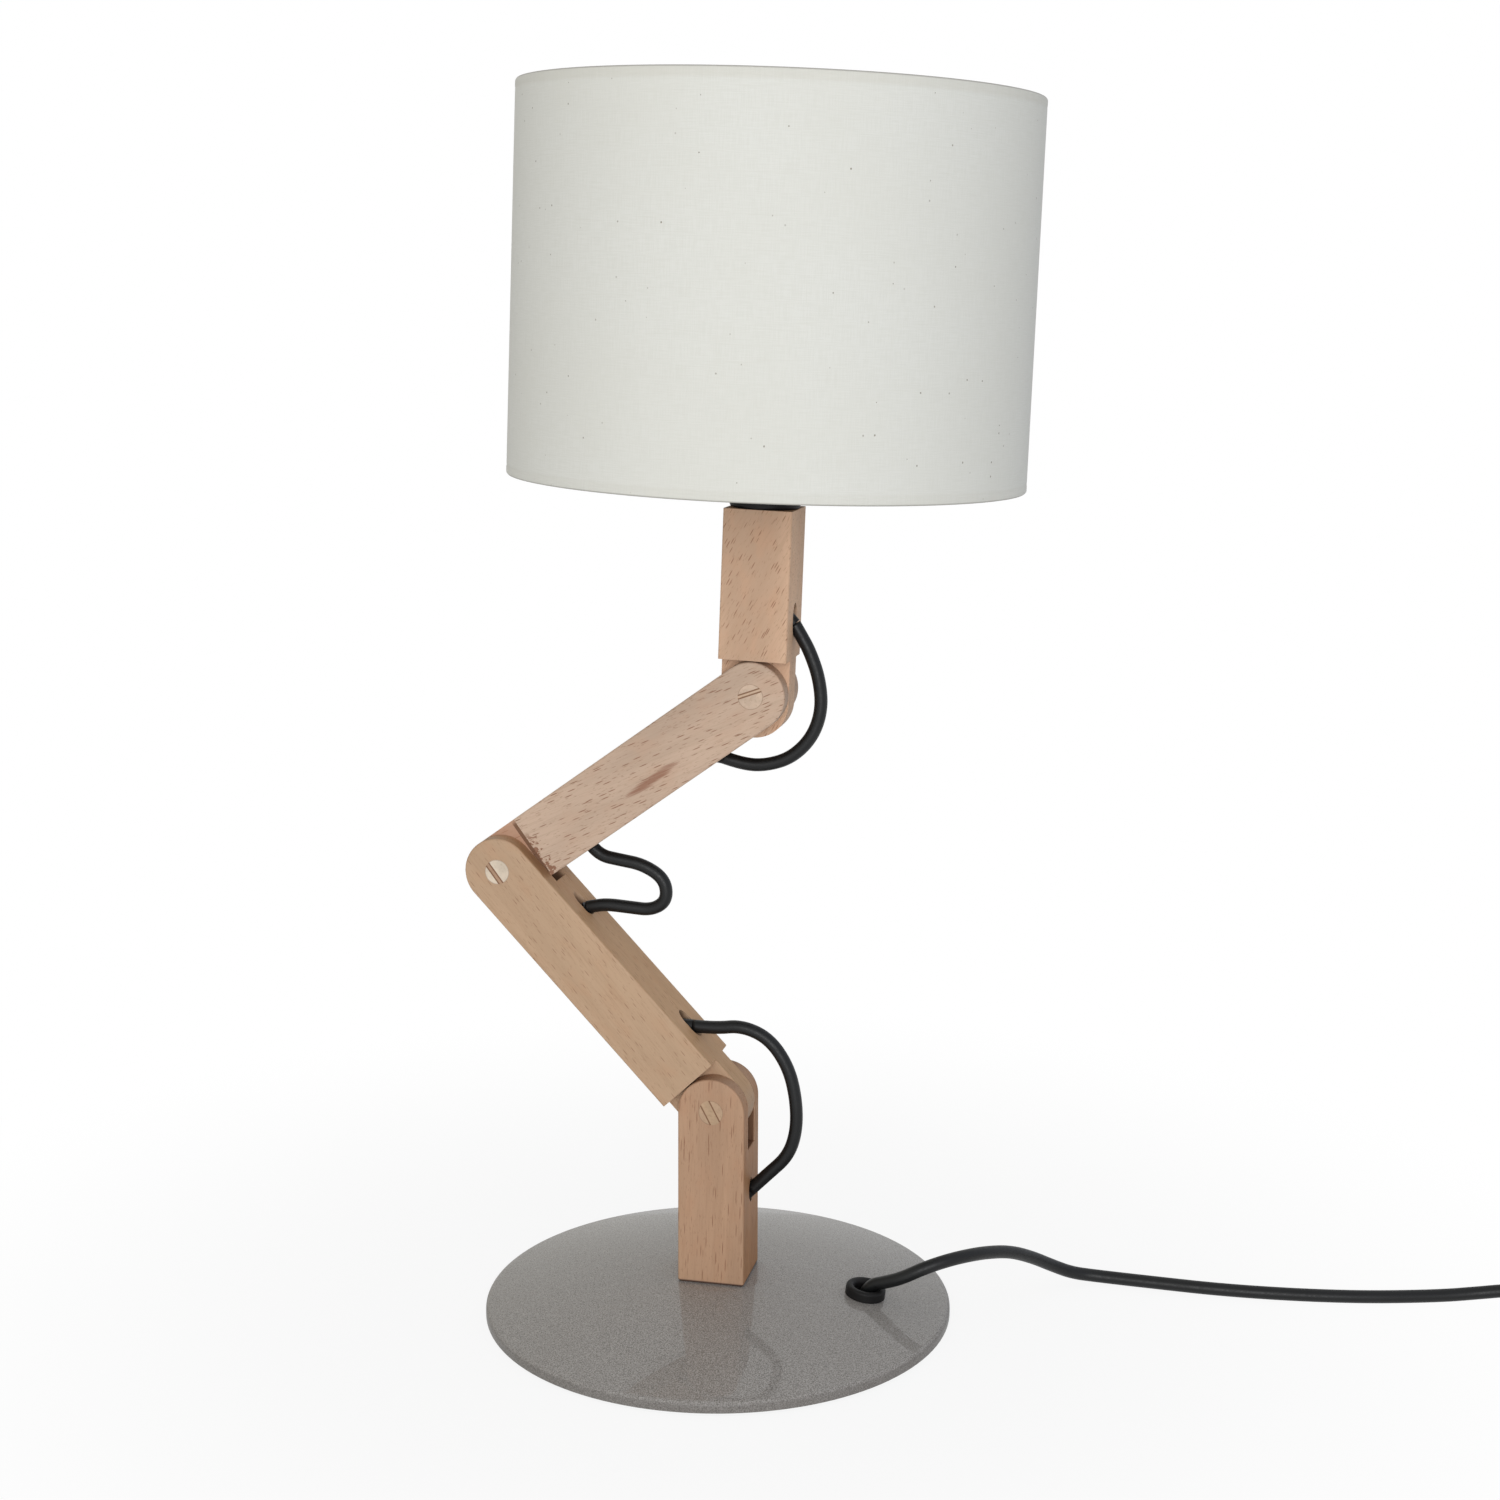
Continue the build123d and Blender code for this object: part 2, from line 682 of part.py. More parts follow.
def bulb_cap():
    """Screw cap with its contact button and collar."""
    button = bulb_button_diameter / 2
    thread = bulb_cap_diameter / 2
    collar = bulb_neck_diameter / 2
    lip = bulb_foot + bulb_button_height
    shoulder = lip + bulb_insulator_height
    return turned(
        (0, bulb_foot), (button, bulb_foot), (button, lip), (thread, shoulder),
        (thread, bulb_cap_top - bulb_collar_height), (collar, bulb_cap_top), (0, bulb_cap_top),
    )


def bulb_form(wall):
    """Ball and neck in one curve, moved in by a wall."""
    ball = bulb_diameter / 2
    centre = bulb_foot + bulb_length - ball
    ball -= wall
    angle = math.radians(bulb_neck_angle)
    join = (ball * math.cos(angle), centre + ball * math.sin(angle))
    foot = (bulb_neck_diameter / 2 - wall, bulb_cap_top)
    crown = ThreePointArc(join, (ball, centre), (0, centre + ball))
    neck = TangentArc(join, foot, tangent=(math.sin(angle), -math.cos(angle)))
    rest = Polyline(foot, (0, bulb_cap_top), (0, centre + ball))
    return revolve(Plane.XZ * make_face([crown, neck, rest]), axis=Axis.Z)


def bulb_glass():
    """Hollow opal glass, open at its foot where the cap closes it."""
    return bulb_form(0) - bulb_form(bulb_wall)


# In-line switch, its own origin in the middle of its foot, its cord along X
def switch_outline(height, shrink):
    """Rounded plan of the switch at a height, drawn in by a margin."""
    plan = RectangleRounded(
        switch_length - 2 * shrink, switch_width - 2 * shrink, switch_corner_radius - shrink
    )
    return Pos(0, 0, height) * plan


def at_switch_screws(shape):
    """Copies of a shape at the two screws of the switch."""
    return [Pos(side * switch_screw_x, side * switch_screw_y, 0) * shape for side in (-1, 1)]


def switch_ports():
    """Round openings for the cord at both ends."""
    port = Rot(0, 90, 0) * Cylinder(cord_radius + switch_port_gap, switch_port_depth + overrun, align=axial)
    right = Pos(switch_length / 2 - switch_port_depth, 0, switch_cord_height) * port
    return [right, mirror(right, about=Plane.YZ)]


def switch_screw_holes():
    """Stepped holes for the switch's screws."""
    shank = switch_screw_diameter / 2 + screw_clearance
    hole = Cylinder(shank, switch_screw_length + screw_clearance, align=axial)
    seat = Cylinder(switch_screw_head / 2 + screw_clearance, 2 * switch_screw_head_depth)
    return at_switch_screws(hole + seat)


def switch_case_lower():
    """Lower half of the switch, up to the line of the cord."""
    case = extrude(switch_outline(0, 0), amount=switch_cord_height)
    case = fillet(case.faces().sort_by(Axis.Z)[0].edges(), switch_foot_round)
    pocket_height = switch_cord_height - switch_wall + overrun
    pocket = Box(switch_cavity_length, switch_width - 2 * switch_wall, pocket_height, align=axial)
    boss = Cylinder(switch_boss_diameter / 2, switch_cord_height, align=axial)
    case -= Pos(0, 0, switch_wall) * pocket - at_switch_screws(boss)
    return case - switch_ports() - switch_screw_holes()


rocker_window_length = rocker_length + 2 * rocker_swing_gap
rocker_window_width = rocker_width + 2 * rocker_gap


def switch_case_upper():
    """Upper half of the switch, with the rocker's window and bearings."""
    case = extrude(switch_outline(switch_cord_height, 0), amount=switch_height - switch_cord_height)
    case = fillet(case.faces().sort_by(Axis.Z)[-1].edges(), switch_top_round)
    ceiling = switch_height - switch_wall
    pocket = Box(
        switch_cavity_length, switch_width - 2 * switch_top_round, ceiling - switch_cord_height + overrun,
        align=(Align.CENTER, Align.CENTER, Align.MAX),
    )
    boss = Cylinder(switch_boss_diameter / 2, switch_height, align=axial)
    bearing_low = rocker_pivot_height - rocker_bearing_drop
    bearing = Box(rocker_bearing_length, rocker_bearing_thickness, switch_height - bearing_low, align=axial)
    bearing_y = (rocker_window_width + rocker_bearing_thickness) / 2
    bearings = [Pos(0, side * bearing_y, bearing_low) * bearing for side in (-1, 1)]
    case -= Pos(0, 0, ceiling) * pocket - at_switch_screws(boss) - bearings
    window = Box(rocker_window_length, rocker_window_width, switch_height, align=axial)
    case -= Pos(0, 0, ceiling - rocker_depth) * window
    pivot = Rot(90, 0, 0) * Cylinder(
        rocker_pivot_diameter / 2 + pin_running_clearance, rocker_window_width + 2 * rocker_bearing_thickness
    )
    case -= Pos(0, 0, rocker_pivot_height) * pivot
    return case - switch_ports() - switch_screw_holes()


def switch_screws():
    """Two screws from below that hold the switch together."""
    shank = Cylinder(switch_screw_diameter / 2, switch_screw_length, align=axial)
    head = Cylinder(switch_screw_head / 2, switch_screw_head_depth, align=axial)
    slot = Box(switch_screw_head, contact_thickness, switch_screw_head_depth)
    screw = shank + head - slot
    return at_switch_screws(screw)


def switch_rocker():
    """Dished rocker with its pivot pins, set down at one side."""
    half = rocker_length / 2
    foot = half * rocker_foot_share
    top = ThreePointArc((half, rocker_crest), (0, rocker_dip), (-half, rocker_crest))
    rest = Polyline(
        (-half, rocker_crest), (-half, -rocker_skirt), (-foot, -rocker_depth), (foot, -rocker_depth),
        (half, -rocker_skirt), (half, rocker_crest),
    )
    body = extrude(Plane.XZ * make_face([top, rest]), amount=rocker_width / 2, both=True)
    body += Rot(90, 0, 0) * Cylinder(rocker_pivot_diameter / 2, rocker_width + 2 * rocker_pivot_reach)
    return Pos(0, 0, rocker_pivot_height) * Rot(0, -rocker_tilt, 0) * body


# Plug, its own origin where the cord enters, pins towards +X
def plug_body():
    """Moulded grip that swells from the cord to the flat pin face."""
    sections = [
        (0, plug_rear_diameter, plug_rear_diameter), (plug_grip_at, plug_grip_width, plug_grip_height),
        (plug_shoulder_at, plug_face_width, plug_face_height),
    ]
    faces = []
    for reach, width, height in sections:
        corner = min(plug_corner_radius, width / 2 - near, height / 2 - near)
        faces.append(Pos(reach, 0, 0) * (Plane.YZ * RectangleRounded(width, height, corner)))
    grip = loft(faces)
    front = extrude(faces[-1], amount=plug_face_length)
    return grip + front - plug_pin_rods(plug_pin_gap)


def plug_pin_rods(clearance):
    """Two round pins with domed tips, or the seats for them."""
    radius = plug_pin_diameter / 2 + clearance
    face = plug_shoulder_at + plug_face_length
    reach = plug_pin_seat + plug_pin_length
    rod = Rot(0, 90, 0) * Cylinder(radius, reach, align=axial)
    rod = fillet(rod.edges().sort_by(Axis.X)[-1], radius / 2)
    return [Pos(face - plug_pin_seat, side * plug_pin_spacing / 2, 0) * rod for side in (-1, 1)]


# Coil of spare lead
coil_pitch = cord_diameter + coil_turn_gap


def biarc(start, start_way, end, end_way):
    """Two tangent arcs between two points with given directions."""
    chord = end - start
    along_both = chord.dot(start_way + end_way)
    spread = 2 * (1 - start_way.dot(end_way))
    reach = (math.sqrt(along_both ** 2 + spread * chord.dot(chord)) - along_both) / spread
    join = (start + end + (start_way - end_way) * reach) / 2
    join_way = end - end_way * reach - start - start_way * reach
    return [TangentArc(start, join, tangent=start_way), TangentArc(join, end, tangent=join_way)]


def coil_stations():
    """Points and directions at each half turn: inwards below, up a layer, and outwards above."""
    steps = list(range(coil_half_turns + 1)) + list(range(coil_half_turns, -1, -1))
    stations = []
    for index, step in enumerate(steps):
        inset = coil_climb_inset if step == coil_half_turns else 0
        radius = coil_outer_radius - step * coil_pitch / 2 - inset
        layer = 0 if index <= coil_half_turns else coil_pitch
        side = 1 if index % 2 == 0 else -1
        point = Vector(coil_middle[0], coil_middle[1] + side * radius, coil_height + layer)
        stations.append((point, Vector(side, 0, 0)))
    return stations


def cord_coil():
    """One unbroken tube wound into two layers, straight for one diameter at each end."""
    stations = coil_stations()
    start, start_way = stations[0]
    end, end_way = stations[-1]
    edges = [Line(start - start_way * cord_diameter, start)]
    for (low, low_way), (high, high_way) in zip(stations, stations[1:]):
        edges += biarc(low, low_way, high, high_way)
    edges.append(Line(end, end + end_way * cord_diameter))
    path = Wire(edges)
    section = Plane(origin=start - start_way * cord_diameter, z_dir=start_way) * Circle(cord_radius)
    coil = sweep(section, path=path)
    ratio = coil.volume / (math.pi * cord_radius ** 2 * path.length)
    print(f"cord_coil: length {path.length:.1f}, volume ratio {ratio:.4f}, least gap {least_gap(path):.2f}")
    return coil


def least_gap(path):
    """Least clear distance between stretches of the coil, measured on points of its middle line."""
    count = 900
    points = [path @ (index / count) for index in range(count + 1)]
    spacing = path.length / count
    apart = math.ceil(3 * cord_diameter / spacing)
    nearest = min(
        (points[second] - points[first]).length
        for first in range(len(points)) for second in range(first + apart, len(points))
    )
    return nearest - cord_diameter


def coil_tie():
    """Soft strap round the turns at the coil's far side."""
    outer_turn = coil_outer_radius - coil_pitch / 4 + cord_radius
    turned_in = (2 * coil_half_turns - 1) * coil_pitch / 4 + coil_climb_inset / 2
    inner_turn = coil_outer_radius - turned_in - cord_radius
    width = outer_turn - inner_turn + 2 * tie_side_gap
    height = coil_pitch + cord_diameter + 2 * tie_gap
    inside = RectangleRounded(width, height, tie_corner_radius)
    outside = RectangleRounded(
        width + 2 * tie_thickness, height + 2 * tie_thickness, tie_corner_radius + tie_thickness
    )
    band = extrude(Plane.XZ * (outside - inside), amount=tie_width / 2, both=True)
    reach = coil_middle[0] + (outer_turn + inner_turn) / 2
    return Pos(reach, coil_middle[1], coil_height + coil_pitch / 2) * band


# Whole lamp
def post():
    """Post with a fork at its top, screwed down through its foot."""
    bar = timber_bar(-post_foot_to_pin, 0, False, True)
    bar = chamfer(bar.faces().sort_by(Axis.Z)[0].edges(), post_foot_chamfer)
    bar -= fork_slot(0, post_slot_depth)
    bar -= pin_hole(0, pin_glue_gap)
    bar = Pos(*lower_pin) * bar
    bar -= channel(base_cord_route, (False, True))
    bar -= ramp(post_ramp, post_ramp - oblique_run)
    return bar - at_post_screws(post_screw(screw_clearance))


post_mouth = Vector(half_timber, 0, lower_pin.Z - post_hole_drop)
post_ramp = post_mouth.Z - post_mouth_ramp
base_cord_route = (
    [lead_route[0]] + base_turn_route
    + [(0, 0, base_cord_height), (0, 0, post_mouth.Z - oblique_run), tuple(post_mouth)]
)


def shortened(points):
    """A route drawn back a little at both ends, to stay clear of the cord that it meets."""
    points = [Vector(*point) for point in points]
    points[0] += (points[1] - points[0]).normalized() * cord_end_gap
    points[-1] += (points[-2] - points[-1]).normalized() * cord_end_gap
    return points


def loop(name, start, route, end):
    """Cord loop that crosses a knuckle from one mouth to the next."""
    return cord_tube(name, shortened([tuple(start)] + route + [tuple(end)]))


def mouth(place, route, index):
    """Place of a member's cord mouth in the lamp's frame."""
    return placed_point(place, route[index])


nodes = {}
nodes["base_dome"] = base_dome()
nodes["base_pad"] = Cylinder(base_radius - base_sheet - pad_edge_gap, pad_thickness, align=axial)
nodes["ballast_plate"] = ballast_plate()
nodes["post_screws"] = Compound([screw.solid() for screw in at_post_screws(post_screw(0))])
nodes["cord_grommet"] = grommet_place * cord_grommet()
nodes["post"] = post()
nodes["cord_in_base"] = cord_tube("cord_in_base", base_cord_route)

lower_arm = arm(end_shoulder, lower_arm_cord_route)
lower_arm -= [ramp(low_ramp, low_ramp + oblique_run), ramp(high_ramp, high_ramp - oblique_run)]
nodes["lower_arm"] = lower_arm_place * lower_arm
nodes["cord_in_lower_arm"] = lower_arm_place * cord_tube("cord_in_lower_arm", lower_arm_cord_route)
nodes["upper_arm"] = upper_arm_place * arm(elbow_shoulder, upper_arm_cord_route)
nodes["cord_in_upper_arm"] = upper_arm_place * cord_tube("cord_in_upper_arm", upper_arm_cord_route)
nodes["head_block"] = head_place * head_block()
nodes["cord_in_head"] = head_place * cord_tube("cord_in_head", head_cord_route)

for pin_name, centre, wedge in (
    ("lower_pin", lower_pin, (lower_wedge_angle, lower_wedge_thickness, lower_wedge_offset)),
    ("elbow_pin", elbow_pin, (elbow_wedge_angle, elbow_wedge_thickness, elbow_wedge_offset)),
    ("upper_pin", upper_pin, (upper_wedge_angle, upper_wedge_thickness, upper_wedge_offset)),
):
    rod, wedges = dowel(*wedge)
    nodes[pin_name] = Pos(*centre) * rod
    nodes[pin_name + "_wedges"] = Pos(*centre) * wedges

nodes["cord_loop_lower"] = loop(
    "cord_loop_lower", post_mouth, lower_loop_route, mouth(lower_arm_place, lower_arm_cord_route, 0)
)
nodes["cord_loop_elbow"] = loop(
    "cord_loop_elbow", mouth(lower_arm_place, lower_arm_cord_route, -1), elbow_loop_route,
    mouth(upper_arm_place, upper_arm_cord_route, 0),
)
nodes["cord_loop_upper"] = loop(
    "cord_loop_upper", mouth(upper_arm_place, upper_arm_cord_route, -1), upper_loop_route,
    mouth(head_place, head_cord_route, 0),
)

for name, make in (
    ("threaded_nipple", threaded_nipple), ("nipple_nut", nipple_nut), ("lampholder_cap", lampholder_cap),
    ("lampholder_body", lampholder_body), ("lampholder_sleeve", lampholder_sleeve),
    ("lampholder_contact", lampholder_contact), ("shade_clamp_ring", clamp_ring),
    ("shade_frame", shade_frame), ("shade_lining", shade_lining_drum), ("shade_cloth", shade_cloth_drum),
    ("bulb_cap", bulb_cap), ("bulb_glass", bulb_glass),
):
    nodes[name] = head_place * make()
top_ring_height = shade_top - shade_cloth - ring_gap - ring_wire_diameter / 2
nodes["shade_top_ring"] = head_place * shade_wire_ring(top_ring_height)

lead_end = Vector(*lead_route[-1])
switch_place = Pos(lead_end.X + switch_length / 2, lead_end.Y, 0)
switch_exit = Vector(lead_end.X + switch_length, lead_end.Y, lead_end.Z)
coil_start, coil_start_way = coil_stations()[0]
coil_end, coil_end_way = coil_stations()[-1]
plug_height = plug_face_height / 2 + plug_rest_gap
plug_place = Pos(*plug_end, plug_height) * Rot(0, 0, 180)
link_end = coil_start - coil_start_way * cord_diameter
tail_start = coil_end + coil_end_way * cord_diameter
nodes["cord_lead"] = cord_tube("cord_lead", shortened(lead_route))
nodes["switch_case_lower"] = switch_place * switch_case_lower()
nodes["switch_case_upper"] = switch_place * switch_case_upper()
nodes["switch_screws"] = switch_place * Compound([screw.solid() for screw in switch_screws()])
nodes["switch_rocker"] = switch_place * switch_rocker()
nodes["cord_link"] = cord_tube("cord_link", [tuple(switch_exit)] + link_route + [tuple(link_end)])
nodes["cord_coil"] = cord_coil()
nodes["coil_tie"] = coil_tie()
nodes["cord_tail"] = cord_tube("cord_tail", [tuple(tail_start)] + tail_route + [(*plug_end, plug_height)])
nodes["plug_body"] = plug_place * plug_body()
nodes["plug_pins"] = plug_place * Compound([rod.solid() for rod in plug_pin_rods(0)])

os.makedirs("parts", exist_ok=True)
for name, shape in nodes.items():
    export_step(shape, f"parts/{name}.step")
print(f"{len(nodes)} nodes, pins at {tuple(lower_pin)} {tuple(elbow_pin)} {tuple(upper_pin)}")
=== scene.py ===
import math

import bmesh
import bpy
from mathutils import Matrix, Vector


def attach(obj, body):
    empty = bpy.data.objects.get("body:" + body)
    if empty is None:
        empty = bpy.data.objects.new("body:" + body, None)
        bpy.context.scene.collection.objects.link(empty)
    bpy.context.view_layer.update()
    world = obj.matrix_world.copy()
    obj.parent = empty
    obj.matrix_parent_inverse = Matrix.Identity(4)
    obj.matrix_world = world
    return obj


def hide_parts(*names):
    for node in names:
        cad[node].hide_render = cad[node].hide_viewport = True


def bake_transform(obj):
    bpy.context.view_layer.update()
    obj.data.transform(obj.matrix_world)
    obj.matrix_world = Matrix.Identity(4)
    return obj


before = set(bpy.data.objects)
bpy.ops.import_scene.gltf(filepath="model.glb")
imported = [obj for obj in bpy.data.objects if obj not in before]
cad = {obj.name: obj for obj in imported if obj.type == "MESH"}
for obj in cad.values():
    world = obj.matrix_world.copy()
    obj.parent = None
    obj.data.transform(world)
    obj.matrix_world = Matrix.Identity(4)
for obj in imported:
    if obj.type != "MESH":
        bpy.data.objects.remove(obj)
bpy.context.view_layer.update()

MM = 0.001

# Places of the timber members at rest, in millimetres, with their leans from upright in degrees
POST_LEAN, LOWER_LEAN, UPPER_LEAN, HEAD_LEAN = 0.0, -43.5, 54.0, 2.0
PIN_SPACING = 128.0
LOWER_PIN_HEIGHT = 86.25
HALF_TIMBER = 13.5

# Heights of the cord's holes, from the pin at the foot of each member, and in the post from the pin at its top
POST_HOLE, HEAD_HOLE = -35.5, 27.6
LOWER_HOLES = (29.6, 93.4)
UPPER_HOLES = (34.5, 101.0)


def along(lean):
    """The way up a member."""
    return Vector((math.sin(math.radians(lean)), 0, math.cos(math.radians(lean))))


def across(lean):
    """The way to the right across a member."""
    return Vector((math.cos(math.radians(lean)), 0, -math.sin(math.radians(lean))))


LOWER_PIN = Vector((0, 0, LOWER_PIN_HEIGHT))
ELBOW_PIN = LOWER_PIN + along(LOWER_LEAN) * PIN_SPACING
UPPER_PIN = ELBOW_PIN + along(UPPER_LEAN) * PIN_SPACING


def mouth(pin, lean, height):
    """The middle of a cord hole on the right face of a member."""
    return tuple(pin + across(lean) * HALF_TIMBER + along(lean) * height)


def srgb(red, green, blue):
    """A colour written as it looks, 0 to 255, as linear values."""
    def linear(value):
        value /= 255
        return value / 12.92 if value <= 0.04045 else ((value + 0.055) / 1.055) ** 2.4
    return (linear(red), linear(green), linear(blue), 1.0)


def material(name, **sockets):
    """A material with its constant values on the shader's own sockets."""
    made = bpy.data.materials.new(name)
    made.use_nodes = True
    shader = made.node_tree.nodes["Principled BSDF"]
    for socket, value in sockets.items():
        shader.inputs[socket.replace("_", " ")].default_value = value
    return made, made.node_tree, shader


def add(tree, kind, inputs=None, **settings):
    """A node with its settings, and its inputs linked or set."""
    made = tree.nodes.new("ShaderNode" + kind)
    for name, value in settings.items():
        setattr(made, name, value)
    for key, value in (inputs or {}).items():
        if isinstance(value, bpy.types.NodeSocket):
            tree.links.new(value, made.inputs[key])
        else:
            made.inputs[key].default_value = value
    return made


def place(tree, scale=(1, 1, 1), offset=(0, 0, 0), vector=None):
    """The object's own coordinates, or a given vector, scaled and moved."""
    vector = vector or add(tree, "TexCoord").outputs["Object"]
    return add(tree, "Mapping", {"Vector": vector, "Scale": scale, "Location": offset}).outputs[0]


def noise(tree, vector, scale=1.0, detail=2.0, roughness=0.5):
    inputs = {"Vector": vector, "Scale": scale, "Detail": detail, "Roughness": roughness}
    return add(tree, "TexNoise", inputs).outputs["Fac"]


def calc(tree, operation, first, second=0.0):
    return add(tree, "Math", {0: first, 1: second}, operation=operation).outputs[0]


def remap(tree, value, low, high, out_low=0.0, out_high=1.0):
    """A value from one range to another, with soft ends."""
    inputs = {"Value": value, "From Min": low, "From Max": high, "To Min": out_low, "To Max": out_high}
    return add(tree, "MapRange", inputs, interpolation_type="SMOOTHSTEP").outputs[0]


def mix(tree, share, first, second, blend="MIX"):
    made = add(tree, "Mix", {0: share, 6: first, 7: second}, data_type="RGBA", blend_type=blend)
    return made.outputs[2]


def within(tree, value, low, high):
    """1 where a value is between two limits, else 0."""
    above = calc(tree, "GREATER_THAN", value, low)
    return calc(tree, "MULTIPLY", above, calc(tree, "LESS_THAN", value, high))


def shades(tone, *factors):
    """A tone scaled by one factor, or by one for each channel, as linear values."""
    factors = factors * 3 if len(factors) == 1 else factors
    return srgb(*[min(255, value * factor) for value, factor in zip(tone, factors)])


def colour(tree, shader, value):
    tree.links.new(value, shader.inputs["Base Color"])


def rough(tree, shader, value):
    tree.links.new(value, shader.inputs["Roughness"])


def bump(tree, shader, height, distance, strength=1.0):
    made = add(tree, "Bump", {"Height": height, "Distance": distance, "Strength": strength})
    tree.links.new(made.outputs["Normal"], shader.inputs["Normal"])


# Colours of the timber's marks, with painted shade and saw burn for holes and slots and a painted contact shadow for
# the foot, and how far from a member's middle its front, its sawn slots and its bores reach
HOLE_SHADE_AND_BURN, STREAK_BROWN, TEAR_BROWN = srgb(104, 70, 47), srgb(138, 88, 64), srgb(128, 82, 57)
CHEEK_TAN, FOOT_SHADOW, GLUE_BROWN = srgb(196, 148, 120), srgb(66, 46, 42), srgb(124, 88, 64)
FRONT_REACH, SAWN_REACH, BORE_REACH = 12.8 * MM, 13.1 * MM, 6.1 * MM

# Where painted shade in bores deepens inwards, a tear's height and where it fades to the left, and where the painted
# contact shadow at the foot darkens downwards
BORE_DEPTH = (13.4 * MM, 11.0 * MM)
TEAR_HEIGHT, TEAR_LEFT = 2.4 * MM, (-7.5 * MM, -2.0 * MM)
FOOT_SHADOW_LINE = (1.3, 0.7)
END_TINT = (0.94, 0.91, 0.88)


